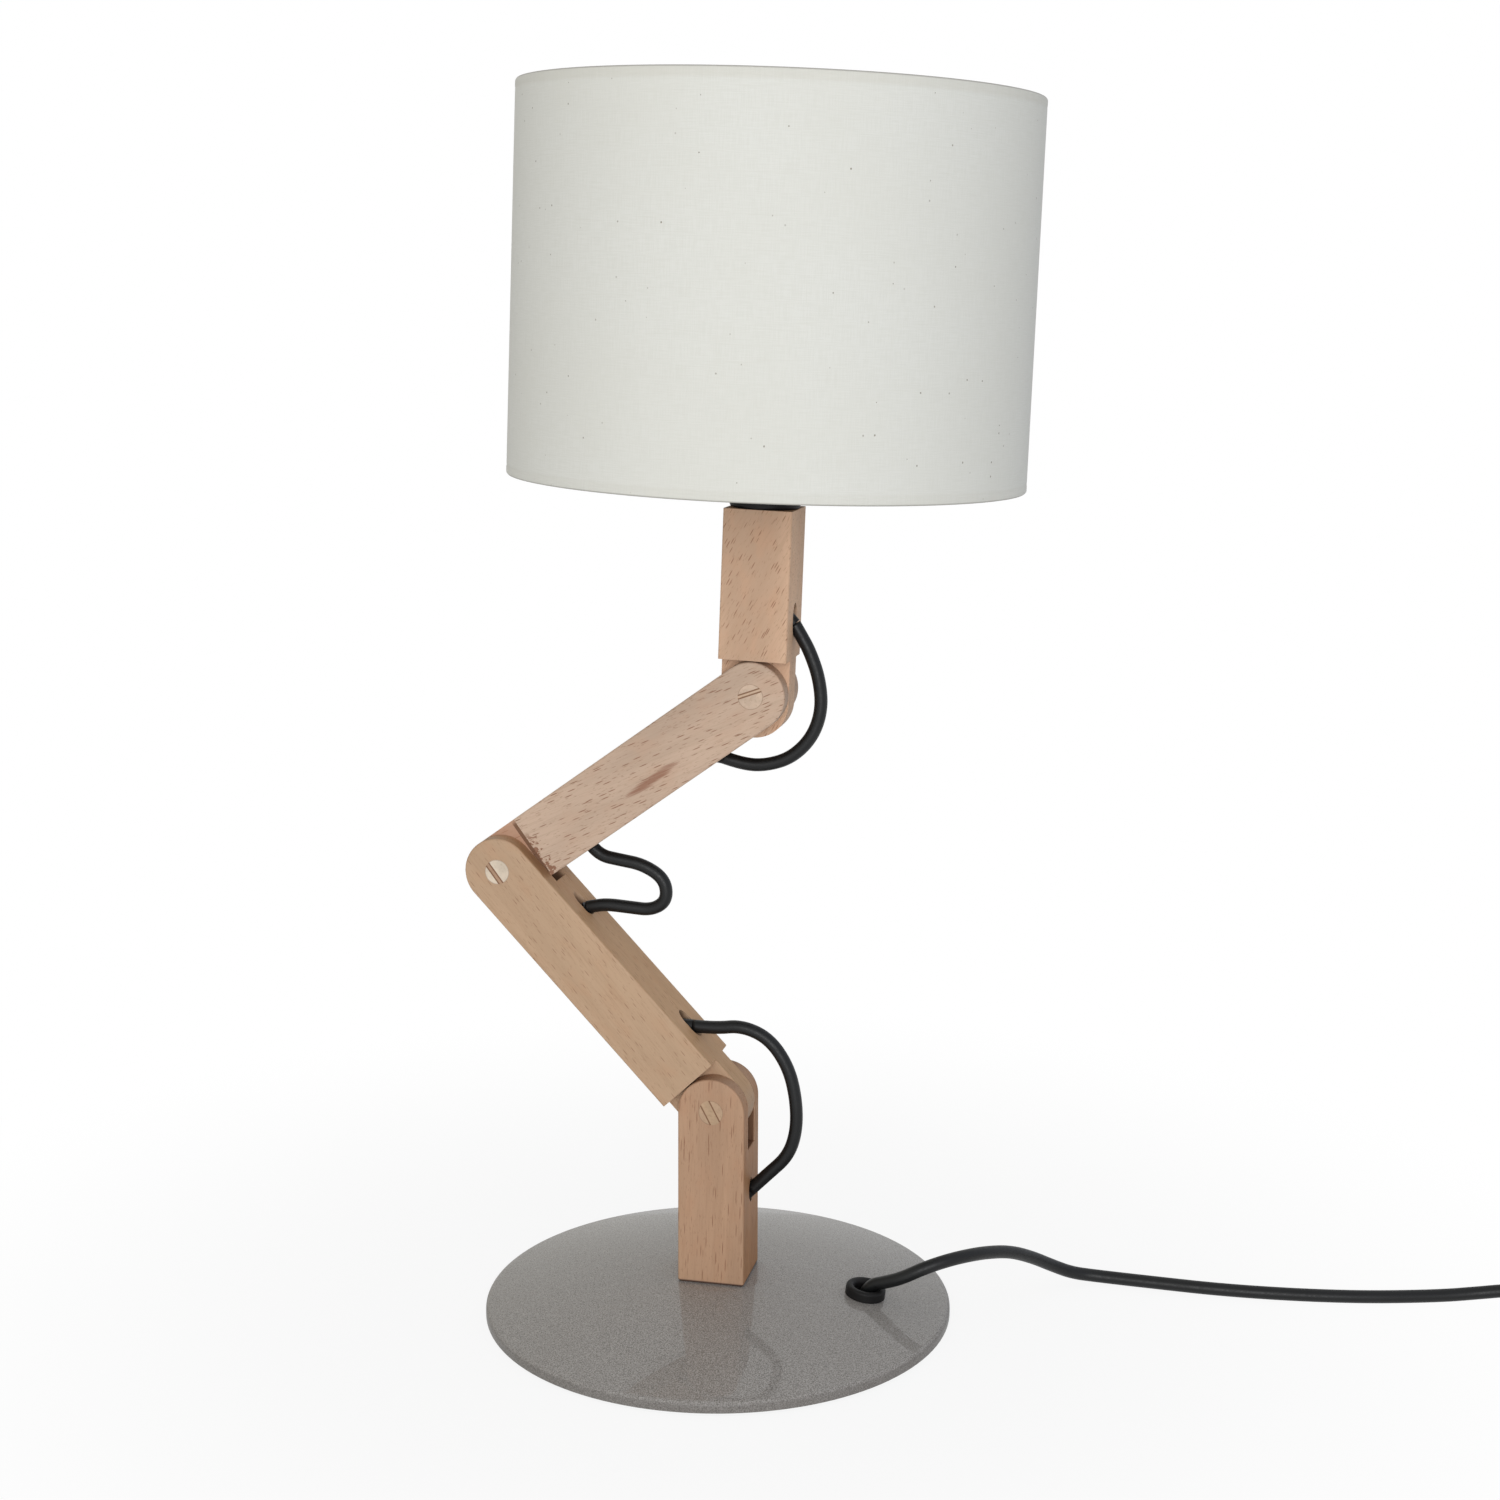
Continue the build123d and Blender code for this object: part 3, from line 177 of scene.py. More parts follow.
def beech(
    name, pin, lean, tone, seed, slant, fleck, keep, reach, drift=0.05, side=(1, 1, 1), inside=(14, 115),
    slot=(109.0, 0.1), torn=None, streak=None, foot=None,
):
    """Timber of one member, in its own frame from a pin, with heights in millimetres.

    slant, fleck, keep and reach are the flecks' angle to the member, strength, share and closeness along the grain.
    drift is how much the tone wanders. side tints the left and right faces, as painted light on some members and as
    painted shade with a darker grain on the post. Holes lie between the heights of inside, and slot is the start and
    the darkness of a sawn slot's painted shade and saw burn. torn is the height of a torn edge, streak a dark
    streak's place, half width and half length, and foot the height of the post's foot, above which a painted contact
    shadow runs.
    """
    made, tree, shader = material(name, Specular_IOR_Level=0.3)
    here = add(tree, "TexCoord").outputs["Object"]

    def turned(angle):
        inputs = {"Vector": here, "Location": tuple(pin * MM), "Rotation": (0, math.radians(angle), 0)}
        return add(tree, "Mapping", inputs, vector_type="TEXTURE").outputs[0]

    local, grain = turned(lean), turned(lean + slant)
    spot = add(tree, "SeparateXYZ", {0: local})
    shift = (seed * 0.37, seed * 0.53, seed * 0.71)
    broad = noise(tree, place(tree, (44, 44, 9), shift, local), detail=3)
    bands = noise(tree, place(tree, (240, 130, 10), shift, grain), detail=2)
    blush = noise(tree, place(tree, (150, 150, 70), shift, local), detail=2)
    fibre = noise(tree, place(tree, (1700, 1700, 80), shift, grain), detail=2)
    pores = noise(tree, place(tree, (2500, 2500, 420), shift, grain), detail=1)
    cells = place(tree, (1150, 1150, 0.75 * reach), shift, grain)
    dashes = add(tree, "TexVoronoi", {"Vector": cells, "Scale": 1.0})
    body = mix(tree, remap(tree, broad, 0.3, 0.7), shades(tone, 1 + drift), shades(tone, 1 - drift))
    body = mix(tree, remap(tree, bands, 0.45, 0.75, 0, 0.3), body, shades(tone, 0.91, 0.9, 0.88))
    body = mix(tree, remap(tree, blush, 0.45, 0.75, 0, 0.5), body, shades(tone, 1.0, 0.955, 0.93))
    body = mix(tree, remap(tree, fibre, 0.45, 0.8, 0, 0.4), body, shades(tone, 0.9, 0.88, 0.86))
    body = mix(tree, remap(tree, pores, 0.62, 0.74, 0, 0.5 * fleck), body, shades(tone, 0.76, 0.68, 0.62))
    chosen = add(tree, "SeparateColor", {0: dashes.outputs["Color"]}).outputs[0]
    kept = remap(tree, chosen, 1 - keep, 1.06 - keep)
    dash = calc(tree, "MULTIPLY", remap(tree, dashes.outputs["Distance"], 0.24, 0.13), kept)
    body = mix(tree, calc(tree, "MULTIPLY", dash, fleck), body, shades(tone, 0.7, 0.58, 0.5))
    front = calc(tree, "LESS_THAN", spot.outputs["Y"], -FRONT_REACH)
    if streak:
        at, height, half_width, half_length = streak
        wide = calc(tree, "DIVIDE", calc(tree, "SUBTRACT", spot.outputs["X"], at * MM), half_width * MM)
        long = calc(tree, "DIVIDE", calc(tree, "SUBTRACT", spot.outputs["Z"], height * MM), half_length * MM)
        away = calc(tree, "ADD", calc(tree, "POWER", wide, 2.0), calc(tree, "POWER", long, 2.0))
        ragged = calc(tree, "ADD", away, remap(tree, fibre, 0.2, 0.8, -0.3, 0.4))
        mask = calc(tree, "MULTIPLY", remap(tree, ragged, 1.0, 0.15, 0, 0.75), front)
        body = mix(tree, mask, body, STREAK_BROWN)
    if torn:
        rise = calc(tree, "DIVIDE", calc(tree, "SUBTRACT", spot.outputs["Z"], torn * MM), TEAR_HEIGHT)
        chips = noise(tree, place(tree, (620, 620, 520), shift, local), detail=3)
        ragged = calc(tree, "ADD", rise, remap(tree, chips, 0.3, 0.7, -1.1, 1.3))
        mask = calc(tree, "MULTIPLY", remap(tree, ragged, 0.9, 0.3, 0, 0.85), front)
        mask = calc(tree, "MULTIPLY", mask, remap(tree, spot.outputs["X"], *TEAR_LEFT))
        body = mix(tree, mask, body, TEAR_BROWN)
        cheek = calc(tree, "LESS_THAN", spot.outputs["Z"], torn * MM)
        body = mix(tree, calc(tree, "MULTIPLY", cheek, 0.6), body, CHEEK_TAN)
    normal = add(tree, "TexCoord").outputs["Normal"]
    # Ends darker with their end grain; left and right faces tinted by side, as painted light, and on the post as
    # painted shade with a darker grain
    for axis, power, tint in ((along(lean), 3.0, END_TINT), (across(lean), 6.0, side)):
        facing = add(tree, "VectorMath", {0: normal, 1: tuple(axis)}, operation="DOT_PRODUCT").outputs["Value"]
        facing = calc(tree, "POWER", calc(tree, "ABSOLUTE", facing), power)
        body = mix(tree, facing, body, (*[value ** 2.2 for value in tint], 1), "MULTIPLY")
    # Painted shade inside the bores, deepening inwards; in the sawn slots, painted shade together with a saw burn
    bore_shade = remap(tree, calc(tree, "ABSOLUTE", spot.outputs["X"]), *BORE_DEPTH, 0, 0.75)
    sawn = calc(tree, "MULTIPLY", calc(tree, "GREATER_THAN", spot.outputs["Z"], slot[0] * MM), slot[1])
    sawn = calc(tree, "MULTIPLY", sawn, within(tree, spot.outputs["X"], -SAWN_REACH, SAWN_REACH))
    hole_shade_and_burn = calc(tree, "MAXIMUM", bore_shade, sawn)
    hole_shade_and_burn = calc(tree, "MULTIPLY", hole_shade_and_burn, within(tree, spot.outputs["Y"], -BORE_REACH, BORE_REACH))
    hole_shade_and_burn = calc(tree, "MULTIPLY", hole_shade_and_burn, within(tree, spot.outputs["Z"], inside[0] * MM, inside[1] * MM))
    body = mix(tree, hole_shade_and_burn, body, HOLE_SHADE_AND_BURN)
    # Painted contact shadow: a thin dark line along the bottom of the post's foot
    if foot:
        high, low = [(foot + rise) * MM for rise in FOOT_SHADOW_LINE]
        body = mix(tree, remap(tree, spot.outputs["Z"], high, low, 0, 0.85), body, FOOT_SHADOW)
    colour(tree, shader, body)
    rough(tree, shader, remap(tree, fibre, 0.3, 0.7, 0.52, 0.66))
    relief = calc(tree, "SUBTRACT", calc(tree, "MULTIPLY", fibre, 0.4), calc(tree, "ADD", dash, pores))
    bump(tree, shader, relief, 0.00006, 0.5)
    return made


# From and to which radius a dowel's glue ring darkens, and how far inside a wedge's sides its glue lines do
GLUE_RING = (4.6, 4.95)
GLUE_LINE = (0.75, 0.4)


def end_wood(name, pin, tone, seed, wedge=None):
    """A dowel, or a wedge with its angle, thickness and offset from the pin, as seen on its ends."""
    made, tree, shader = material(name, Specular_IOR_Level=0.3)
    here = add(tree, "TexCoord").outputs["Object"]
    spread = place(tree, (1, 0.15, 1), (seed, seed, seed), here)
    grain = noise(tree, spread, 1100, 3, 0.6)
    cloud = noise(tree, spread, 200, 2)
    body = mix(tree, remap(tree, cloud, 0.3, 0.7), shades(tone, 1.03), shades(tone, 0.95))
    body = mix(tree, remap(tree, grain, 0.5, 0.75, 0, 0.4), body, shades(tone, 0.82, 0.78, 0.74))
    from_pin = add(tree, "VectorMath", {0: here, 1: tuple(pin * MM)}, operation="SUBTRACT").outputs[0]
    if wedge:
        angle, thickness, offset = wedge
        square = (math.sin(math.radians(angle)), 0, -math.cos(math.radians(angle)))
        gap = add(tree, "VectorMath", {0: from_pin, 1: square}, operation="DOT_PRODUCT").outputs["Value"]
        gap = calc(tree, "ABSOLUTE", calc(tree, "SUBTRACT", gap, offset * MM))
        low, high = [(thickness / 2 - inset) * MM for inset in GLUE_LINE]
        edge = remap(tree, gap, low, high, 0, 0.9)
    else:
        flat = add(tree, "VectorMath", {0: from_pin, 1: (1, 0, 1)}, operation="MULTIPLY").outputs[0]
        gap = add(tree, "VectorMath", {0: flat}, operation="LENGTH").outputs["Value"]
        edge = remap(tree, gap, GLUE_RING[0] * MM, GLUE_RING[1] * MM, 0, 0.5)
    body = mix(tree, edge, body, GLUE_BROWN)
    colour(tree, shader, body)
    rough(tree, shader, remap(tree, grain, 0.3, 0.7, 0.55, 0.7))
    bump(tree, shader, grain, 0.00005, 0.4)
    return made


def lacquer():
    """Taupe lacquer with fine pigment speckle and a clear coat; the coat is thinner on the rim's upright face, which
    is painted darker as shade.
    """
    made, tree, shader = material("taupe_lacquer", Specular_IOR_Level=0.14, Coat_Roughness=0.015, Coat_IOR=1.5)
    here = place(tree)
    speckle = noise(tree, here, 2100, 2, 0.7)
    sparkle = noise(tree, here, 3200, 1)
    cloud = noise(tree, here, 24, 2)
    body = mix(tree, remap(tree, speckle, 0.3, 0.7), srgb(107, 103, 99), srgb(180, 176, 172))
    body = mix(tree, remap(tree, sparkle, 0.6, 0.75, 0, 0.7), body, srgb(204, 200, 197))
    body = mix(tree, remap(tree, sparkle, 0.4, 0.25, 0, 0.6), body, srgb(100, 96, 93))
    body = mix(tree, remap(tree, cloud, 0.35, 0.65, 0, 0.12), body, srgb(136, 129, 122))
    upright = add(tree, "SeparateXYZ", {0: add(tree, "TexCoord").outputs["Normal"]}).outputs["Z"]
    # Painted shade: the rim's upright face is darkened
    body = mix(tree, remap(tree, upright, 0.8, 0.3, 0, 0.45), body, srgb(96, 92, 88))
    colour(tree, shader, body)
    tree.links.new(remap(tree, upright, 0.75, 0.97, 0.12, 0.66), shader.inputs["Coat Weight"])
    rough(tree, shader, remap(tree, speckle, 0.3, 0.7, 0.4, 0.52))
    bump(tree, shader, noise(tree, here, 420, 2), 0.00002, 0.25)
    return made


def moulded(name, tone, low, high, grain, depth, **sockets):
    """Black plastic or rubber, with its range of roughness and its grain's fineness and depth."""
    made, tree, shader = material(name, **sockets)
    here = place(tree)
    fine = noise(tree, here, grain, 3, 0.6)
    cloud = noise(tree, here, 60, 2)
    paler, palest = [value * 1.25 + 3 for value in tone], [value * 1.5 + 6 for value in tone]
    body = mix(tree, remap(tree, cloud, 0.3, 0.7), srgb(*tone), srgb(*paler))
    body = mix(tree, remap(tree, fine, 0.55, 0.75, 0, 0.4), body, srgb(*palest))
    colour(tree, shader, body)
    rough(tree, shader, remap(tree, fine, 0.3, 0.7, low, high))
    bump(tree, shader, fine, depth, 0.4)
    return made


def metal(name, tone, low, high, grain):
    """Brushed, plated or cast metal, with its range of roughness and its grain's fineness along each axis."""
    made, tree, shader = material(name, Metallic=1.0)
    lines = noise(tree, place(tree, grain), 1.0, 3)
    cloud = noise(tree, place(tree), 90, 2)
    body = mix(tree, remap(tree, cloud, 0.3, 0.7), shades(tone, 1.0), shades(tone, 0.88))
    colour(tree, shader, body)
    rough(tree, shader, remap(tree, lines, 0.3, 0.7, low, high))
    bump(tree, shader, lines, 0.00003, 0.3)
    return made


def matte(name, tone, grain, depth, low, high, **sockets):
    """Paint, lining or felt, with its grain's fineness and depth and its range of roughness."""
    made, tree, shader = material(name, **sockets)
    here = place(tree)
    fine = noise(tree, here, grain, 3, 0.6)
    body = mix(tree, remap(tree, fine, 0.3, 0.7), shades(tone, 1.0), shades(tone, 0.93))
    colour(tree, shader, body)
    rough(tree, shader, remap(tree, fine, 0.3, 0.7, low, high))
    bump(tree, shader, fine, depth, 0.5)
    return made


# Pitch of the cloth's threads, where it darkens towards its ends, and where a painted shade line runs along its
# folds, along the cloth from its ends
THREAD_PITCH = 0.55 * MM
TOP_DARKER = (14.6 * MM, 12.4 * MM)
LOW_DARKER = (14.2 * MM, 12.8 * MM)
FOLD_OUTSIDE = (10.3 * MM, 9.7 * MM)
FOLD_INSIDE = (8.3 * MM, 9.0 * MM)


def cotton(length):
    """Plain weave with slubs and seed specks, darker towards its ends and with a painted shade line along its folded
    edges, on coordinates in metres round the drum and along its cloth.
    """
    made, tree, shader = material("shade_cotton", Roughness=0.92, Specular_IOR_Level=0.15, Sheen_Weight=0.15)
    here = add(tree, "TexCoord").outputs["UV"]
    weft = noise(tree, place(tree, (140, 2600, 1), (0, 0, 0), here), detail=2)
    warp = noise(tree, place(tree, (2600, 140, 1), (3, 7, 0), here), detail=2)
    slub = noise(tree, place(tree, (34, 1500, 1), (11, 5, 0), here), detail=3)
    slub_up = noise(tree, place(tree, (1300, 22, 1), (2, 19, 0), here), detail=3)
    cloud = noise(tree, place(tree, (16, 16, 1), (5, 1, 0), here), detail=3)
    parts = add(tree, "SeparateXYZ", {0: here})
    from_low, per_metre = parts.outputs["Y"], 2 * math.pi / THREAD_PITCH
    round_wave = calc(tree, "SINE", calc(tree, "MULTIPLY", parts.outputs["X"], per_metre))
    up_wave = calc(tree, "SINE", calc(tree, "MULTIPLY", from_low, per_metre))
    weave = calc(tree, "MULTIPLY", round_wave, up_wave)
    threads = calc(tree, "ADD", weft, warp)
    body = mix(tree, remap(tree, threads, 0.75, 1.25), srgb(221, 221, 214), srgb(226, 226, 220))
    body = mix(tree, remap(tree, slub, 0.55, 0.8, 0, 0.3), body, srgb(214, 213, 204))
    body = mix(tree, remap(tree, slub_up, 0.58, 0.8, 0, 0.25), body, srgb(215, 214, 206))
    body = mix(tree, remap(tree, cloud, 0.35, 0.7, 0, 0.3), body, srgb(219, 218, 209))
    body = mix(tree, remap(tree, weave, 0.2, 1.0, 0, 0.07), body, srgb(204, 203, 195))
    spread = place(tree, (230, 200, 1), (1, 4, 0), here)
    specks = add(tree, "TexVoronoi", {"Vector": spread, "Scale": 1.0}, voronoi_dimensions="2D")
    chosen = add(tree, "SeparateColor", {0: specks.outputs["Color"]})
    kept = calc(tree, "GREATER_THAN", chosen.outputs[0], 0.95)
    size = remap(tree, chosen.outputs[1], 0.0, 1.0, 0.04, 0.075)
    speck = calc(tree, "MULTIPLY", calc(tree, "LESS_THAN", specks.outputs["Distance"], size), kept)
    depth = remap(tree, chosen.outputs[2], 0.0, 1.0, 0.3, 0.8)
    body = mix(tree, calc(tree, "MULTIPLY", speck, depth), body, srgb(128, 118, 100))
    from_top = calc(tree, "SUBTRACT", length * MM, from_low)
    # Darker towards the top and bottom ends of the cloth
    top_darker = remap(tree, from_top, *TOP_DARKER, 0, 0.36)
    low_darker = remap(tree, from_low, *LOW_DARKER, 0, 0.2)
    body = mix(tree, calc(tree, "MAXIMUM", top_darker, low_darker), body, srgb(208, 205, 194))
    to_end = calc(tree, "MINIMUM", from_low, from_top)
    # Painted shade: a thin darker line along the outer half of each folded edge
    fold_shade = calc(tree, "MULTIPLY", remap(tree, to_end, *FOLD_OUTSIDE), remap(tree, to_end, *FOLD_INSIDE))
    body = mix(tree, calc(tree, "MULTIPLY", fold_shade, 0.75), body, srgb(160, 157, 150))
    colour(tree, shader, body)
    relief = calc(tree, "ADD", calc(tree, "MULTIPLY", weave, 0.35), calc(tree, "ADD", threads, slub))
    bump(tree, shader, relief, 0.00008, 0.3)
    return made


def strap_cloth():
    """Ribbed cloth of the tie round the coil."""
    made, tree, shader = material("strap_cloth", Roughness=0.9, Sheen_Weight=0.3)
    here = place(tree)
    inputs = {"Vector": here, "Scale": 420.0, "Distortion": 1.0, "Detail": 2.0}
    ribs = add(tree, "TexWave", inputs).outputs["Fac"]
    fuzz = noise(tree, here, 1900, 3)
    body = mix(tree, calc(tree, "MULTIPLY", ribs, fuzz), srgb(30, 30, 31), srgb(62, 61, 62))
    colour(tree, shader, body)
    bump(tree, shader, ribs, 0.0001, 0.5)
    return made


def opal():
    """Opal glass of the bulb."""
    made, tree, shader = material("opal_glass", Specular_IOR_Level=0.5, Coat_Weight=0.6, Coat_Roughness=0.04)
    cloud = noise(tree, place(tree), 55, 2)
    colour(tree, shader, mix(tree, remap(tree, cloud, 0.3, 0.7), srgb(240, 238, 233), srgb(233, 230, 224)))
    rough(tree, shader, remap(tree, cloud, 0.3, 0.7, 0.18, 0.26))
    return made


# Each CAD node's finish
finishes = {
    "base_dome": lacquer(),
    "base_pad": matte("felt_black", (34, 33, 33), 1600, 0.0002, 0.9, 1.0, Sheen_Weight=0.4),
    "ballast_plate": metal("cast_iron", (84, 84, 86), 0.6, 0.8, (700, 700, 700)),
    "post_screws": metal("screw_steel", (190, 190, 188), 0.25, 0.4, (400, 400, 2600)),
    "cord_grommet": moulded(
        "grommet_rubber", (17, 16, 16), 0.5, 0.66, 1400, 0.00004, Specular_IOR_Level=0.22
    ),
    "post": beech(
        "beech_post", LOWER_PIN, POST_LEAN, (185, 149, 121), seed=1.0, slant=1.5, fleck=0.75, keep=0.85, reach=95,
        drift=0.06, side=(0.945, 0.868, 0.766), inside=(-70, 20), slot=(-18.0, 0.85), foot=-71.4,
    ),
    "lower_arm": beech(
        "beech_lower_arm", LOWER_PIN, LOWER_LEAN, (191, 160, 131), seed=2.3, slant=3.0, fleck=0.55, keep=0.7,
        reach=170, drift=0.02, side=(1.049, 1.012, 0.946),
    ),
    "upper_arm": beech(
        "beech_upper_arm", ELBOW_PIN, UPPER_LEAN, (195, 169, 148), seed=4.1, slant=11.0, fleck=0.95, keep=0.95,
        reach=140, torn=18.7, streak=(4.7, 75.6, 2.2, 15.0),
    ),
    "head_block": beech(
        "beech_head", UPPER_PIN, HEAD_LEAN, (206, 171, 143), seed=5.7, slant=27.0, fleck=0.85, keep=0.95,
        reach=165, drift=0.06, side=(1.045, 1.045, 1.03), inside=(14, 71),
    ),
    "lower_pin": end_wood("dowel_lower", LOWER_PIN, (188, 158, 130), 1.0),
    "elbow_pin": end_wood("dowel_elbow", ELBOW_PIN, (220, 204, 184), 2.0),
    "upper_pin": end_wood("dowel_upper", UPPER_PIN, (208, 183, 161), 3.0),
    "lower_pin_wedges": end_wood("wedge_lower", LOWER_PIN, (190, 160, 130), 4.0, (-62.0, 4.6, 0.4)),
    "elbow_pin_wedges": end_wood("wedge_elbow", ELBOW_PIN, (180, 146, 120), 5.0, (-53.0, 2.2, 1.4)),
    "upper_pin_wedges": end_wood("wedge_upper", UPPER_PIN, (204, 176, 150), 6.0, (20.0, 1.9, -1.4)),
    "threaded_nipple": metal("plated_nipple", (186, 186, 182), 0.25, 0.4, (300, 300, 2200)),
    "nipple_nut": metal("plated_nut", (186, 186, 182), 0.25, 0.4, (900, 900, 300)),
    "lampholder_cap": moulded(
        "holder_cap_black", (20, 18, 19), 0.5, 0.64, 1200, 0.00003, Specular_IOR_Level=0.2
    ),
    "lampholder_body": moulded("holder_body_black", (28, 28, 29), 0.36, 0.5, 1200, 0.00003),
    "lampholder_sleeve": metal("sleeve_brass", (205, 168, 100), 0.25, 0.4, (400, 400, 2200)),
    "lampholder_contact": metal("contact_brass", (208, 172, 104), 0.22, 0.36, (1800, 300, 300)),
    "shade_clamp_ring": moulded("clamp_ring_black", (27, 27, 28), 0.36, 0.5, 1200, 0.00003),
    "shade_frame": matte("frame_white", (232, 231, 226), 900, 0.00003, 0.35, 0.5),
    "shade_top_ring": matte("ring_white", (232, 231, 226), 900, 0.00003, 0.35, 0.5),
    "shade_lining": matte("lining_white", (236, 234, 228), 500, 0.00003, 0.45, 0.6),
    "bulb_cap": metal("cap_aluminium", (200, 200, 200), 0.28, 0.42, (300, 300, 2400)),
    "bulb_glass": opal(),
    "switch_case_lower": moulded("switch_lower_black", (27, 27, 28), 0.42, 0.56, 1500, 0.00005),
    "switch_case_upper": moulded("switch_upper_black", (27, 27, 28), 0.42, 0.56, 1500, 0.00005),
    "switch_screws": metal("switch_screw_steel", (190, 190, 188), 0.25, 0.4, (2400, 400, 400)),
    "switch_rocker": moulded("rocker_black", (32, 32, 33), 0.2, 0.3, 900, 0.00002),
    "coil_tie": strap_cloth(),
    "plug_body": moulded("plug_black", (27, 27, 28), 0.42, 0.58, 1500, 0.00005),
    "plug_pins": metal("plug_pin_plate", (205, 203, 196), 0.18, 0.32, (2600, 400, 400)),
}
cord_black = moulded("cord_black", (13, 14, 15), 0.36, 0.5, 900, 0.00003, Specular_IOR_Level=0.32)
for name in ("cord_in_base", "cord_in_lower_arm", "cord_in_upper_arm", "cord_in_head"):
    finishes[name] = cord_black
for name, finish in finishes.items():
    cad[name].data.materials.clear()
    cad[name].data.materials.append(finish)


CORD = 5.2 * MM


def cord_curve(name, points, thick=True):
    """A smooth curve on a route's own points, as a round cord or as a bare line."""
    line = bpy.data.curves.new(name, "CURVE")
    line.dimensions = "3D"
    spline = line.splines.new("NURBS")
    spline.points.add(len(points) - 1)
    for control, point in zip(spline.points, points):
        control.co = (*[value * MM for value in point], 1)
    spline.order_u = 3
    spline.use_endpoint_u = True
    spline.resolution_u = 10
    if thick:
        line.bevel_depth = CORD / 2
        line.bevel_resolution = 7
        line.use_fill_caps = True
        line.materials.append(cord_black)
    made = bpy.data.objects.new(name, line)
    bpy.context.scene.collection.objects.link(made)
    return made


def line_points(points):
    """Points along the smooth curve of a route."""
    guide = cord_curve("guide", points, thick=False)
    bpy.context.view_layer.update()
    mesh = bpy.data.meshes.new_from_object(guide)
    found = [vertex.co.copy() for vertex in mesh.vertices]
    bpy.data.meshes.remove(mesh)
    bpy.data.objects.remove(guide)
    return found


def mesh_object(name, build, finish, smooth=True):
    """An object from a bmesh that a function fills."""
    mesh = bpy.data.meshes.new(name)
    work = bmesh.new()
    build(work)
    work.normal_update()
    for face in work.faces:
        face.smooth = smooth
    work.to_mesh(mesh)
    work.free()
    mesh.materials.append(finish)
    made = bpy.data.objects.new(name, mesh)
    bpy.context.scene.collection.objects.link(made)
    return made


def tube_along(points, radius, sides=20):
    """A function that fills a bmesh with a round tube along points, carried without twist."""
    angles = [2 * math.pi * step / sides for step in range(sides)]

    def build(work):
        side = Vector((0, 1, 0))
        rings = []
        for index, point in enumerate(points):
            before = points[max(index - 1, 0)]
            after = points[min(index + 1, len(points) - 1)]
            way = (after - before).normalized()
            side = (side - way * side.dot(way)).normalized()
            other = way.cross(side)
            spokes = [(side * math.cos(angle) + other * math.sin(angle)) * radius for angle in angles]
            rings.append([work.verts.new(point + spoke) for spoke in spokes])
        for low, high in zip(rings, rings[1:]):
            for step in range(sides):
                turn = (step + 1) % sides
                work.faces.new((low[step], low[turn], high[turn], high[step]))
        work.faces.new(rings[0][::-1])
        work.faces.new(rings[-1])
    return build


def joint_loop(name, node, points):
    """Cord loop over a knuckle, from hole to hole."""
    path = line_points(points)
    made = mesh_object(name, tube_along(path, CORD / 2), cord_black)
    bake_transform(made)
    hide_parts(node)


# Cord loops, from hole to hole, in millimetres
post_mouth = mouth(LOWER_PIN, POST_LEAN, POST_HOLE)
lower_in, lower_out = [mouth(LOWER_PIN, LOWER_LEAN, height) for height in LOWER_HOLES]
upper_in, upper_out = [mouth(ELBOW_PIN, UPPER_LEAN, height) for height in UPPER_HOLES]
head_in = mouth(UPPER_PIN, HEAD_LEAN, HEAD_HOLE)
lower_loop = [
    post_mouth, (20.5, 0, 57.8), (28.9, 0, 66.2), (32.2, 0, 77.5), (31.7, 0, 90.6), (28.5, 0, 103.2),
    (20.7, 0, 114.2), (9.5, 0, 118.6), (-1.5, 0, 116.76), lower_in,
]
elbow_loop = [
    lower_out, (-52.0, 0, 164.0), (-46.2, 0, 165.0), (-37.0, 0, 164.4), (-27.6, 0, 163.8), (-21.3, 0, 168.2),
    (-22.3, 0, 176.8), (-31.0, 0, 182.2), (-41.0, 0, 183.7), (-49.2, 0, 185.0), upper_in,
]
upper_loop = [
    upper_out, (9.2, 0, 225.2), (18.5, 0, 225.0), (29.0, 0, 228.5), (37.3, 0, 237.0), (41.0, 0, 248.0),
    (40.0, 0, 259.8), (36.3, 0, 270.4), (32.6, 0, 277.0), head_in,
]
joint_loop("loop_post", "cord_loop_lower", lower_loop)
joint_loop("loop_elbow", "cord_loop_elbow", elbow_loop)
joint_loop("loop_head", "cord_loop_upper", upper_loop)

# Mains lead from the grommet to the switch, and from the switch through its coil to the plug
lead_points = [
    (60.2, 0.0, 11.0), (63.0, -0.4, 15.4), (68.6, -1.5, 17.4), (75.4, -2.4, 20.1), (84.4, -1.8, 25.0),
    (92.9, 1.8, 27.5), (100.2, 7.8, 27.8), (107.4, 17.6, 25.9), (115.4, 29.4, 22.1), (123.2, 40.8, 15.7),
    (130.9, 49.6, 9.1), (138.5, 55.2, 4.4), (147.5, 58.2, 2.7), (167.0, 57.2, 2.7), (205.0, 55.8, 2.7),
    (250.0, 60.5, 2.7), (286.0, 70.0, 2.7), (304.0, 73.4, 4.6), (314.0, 73.0, 6.8), (322.0, 73.0, 7.0),
]
lead = cord_curve("mains_lead", lead_points)
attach(lead, "base")
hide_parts("cord_lead")


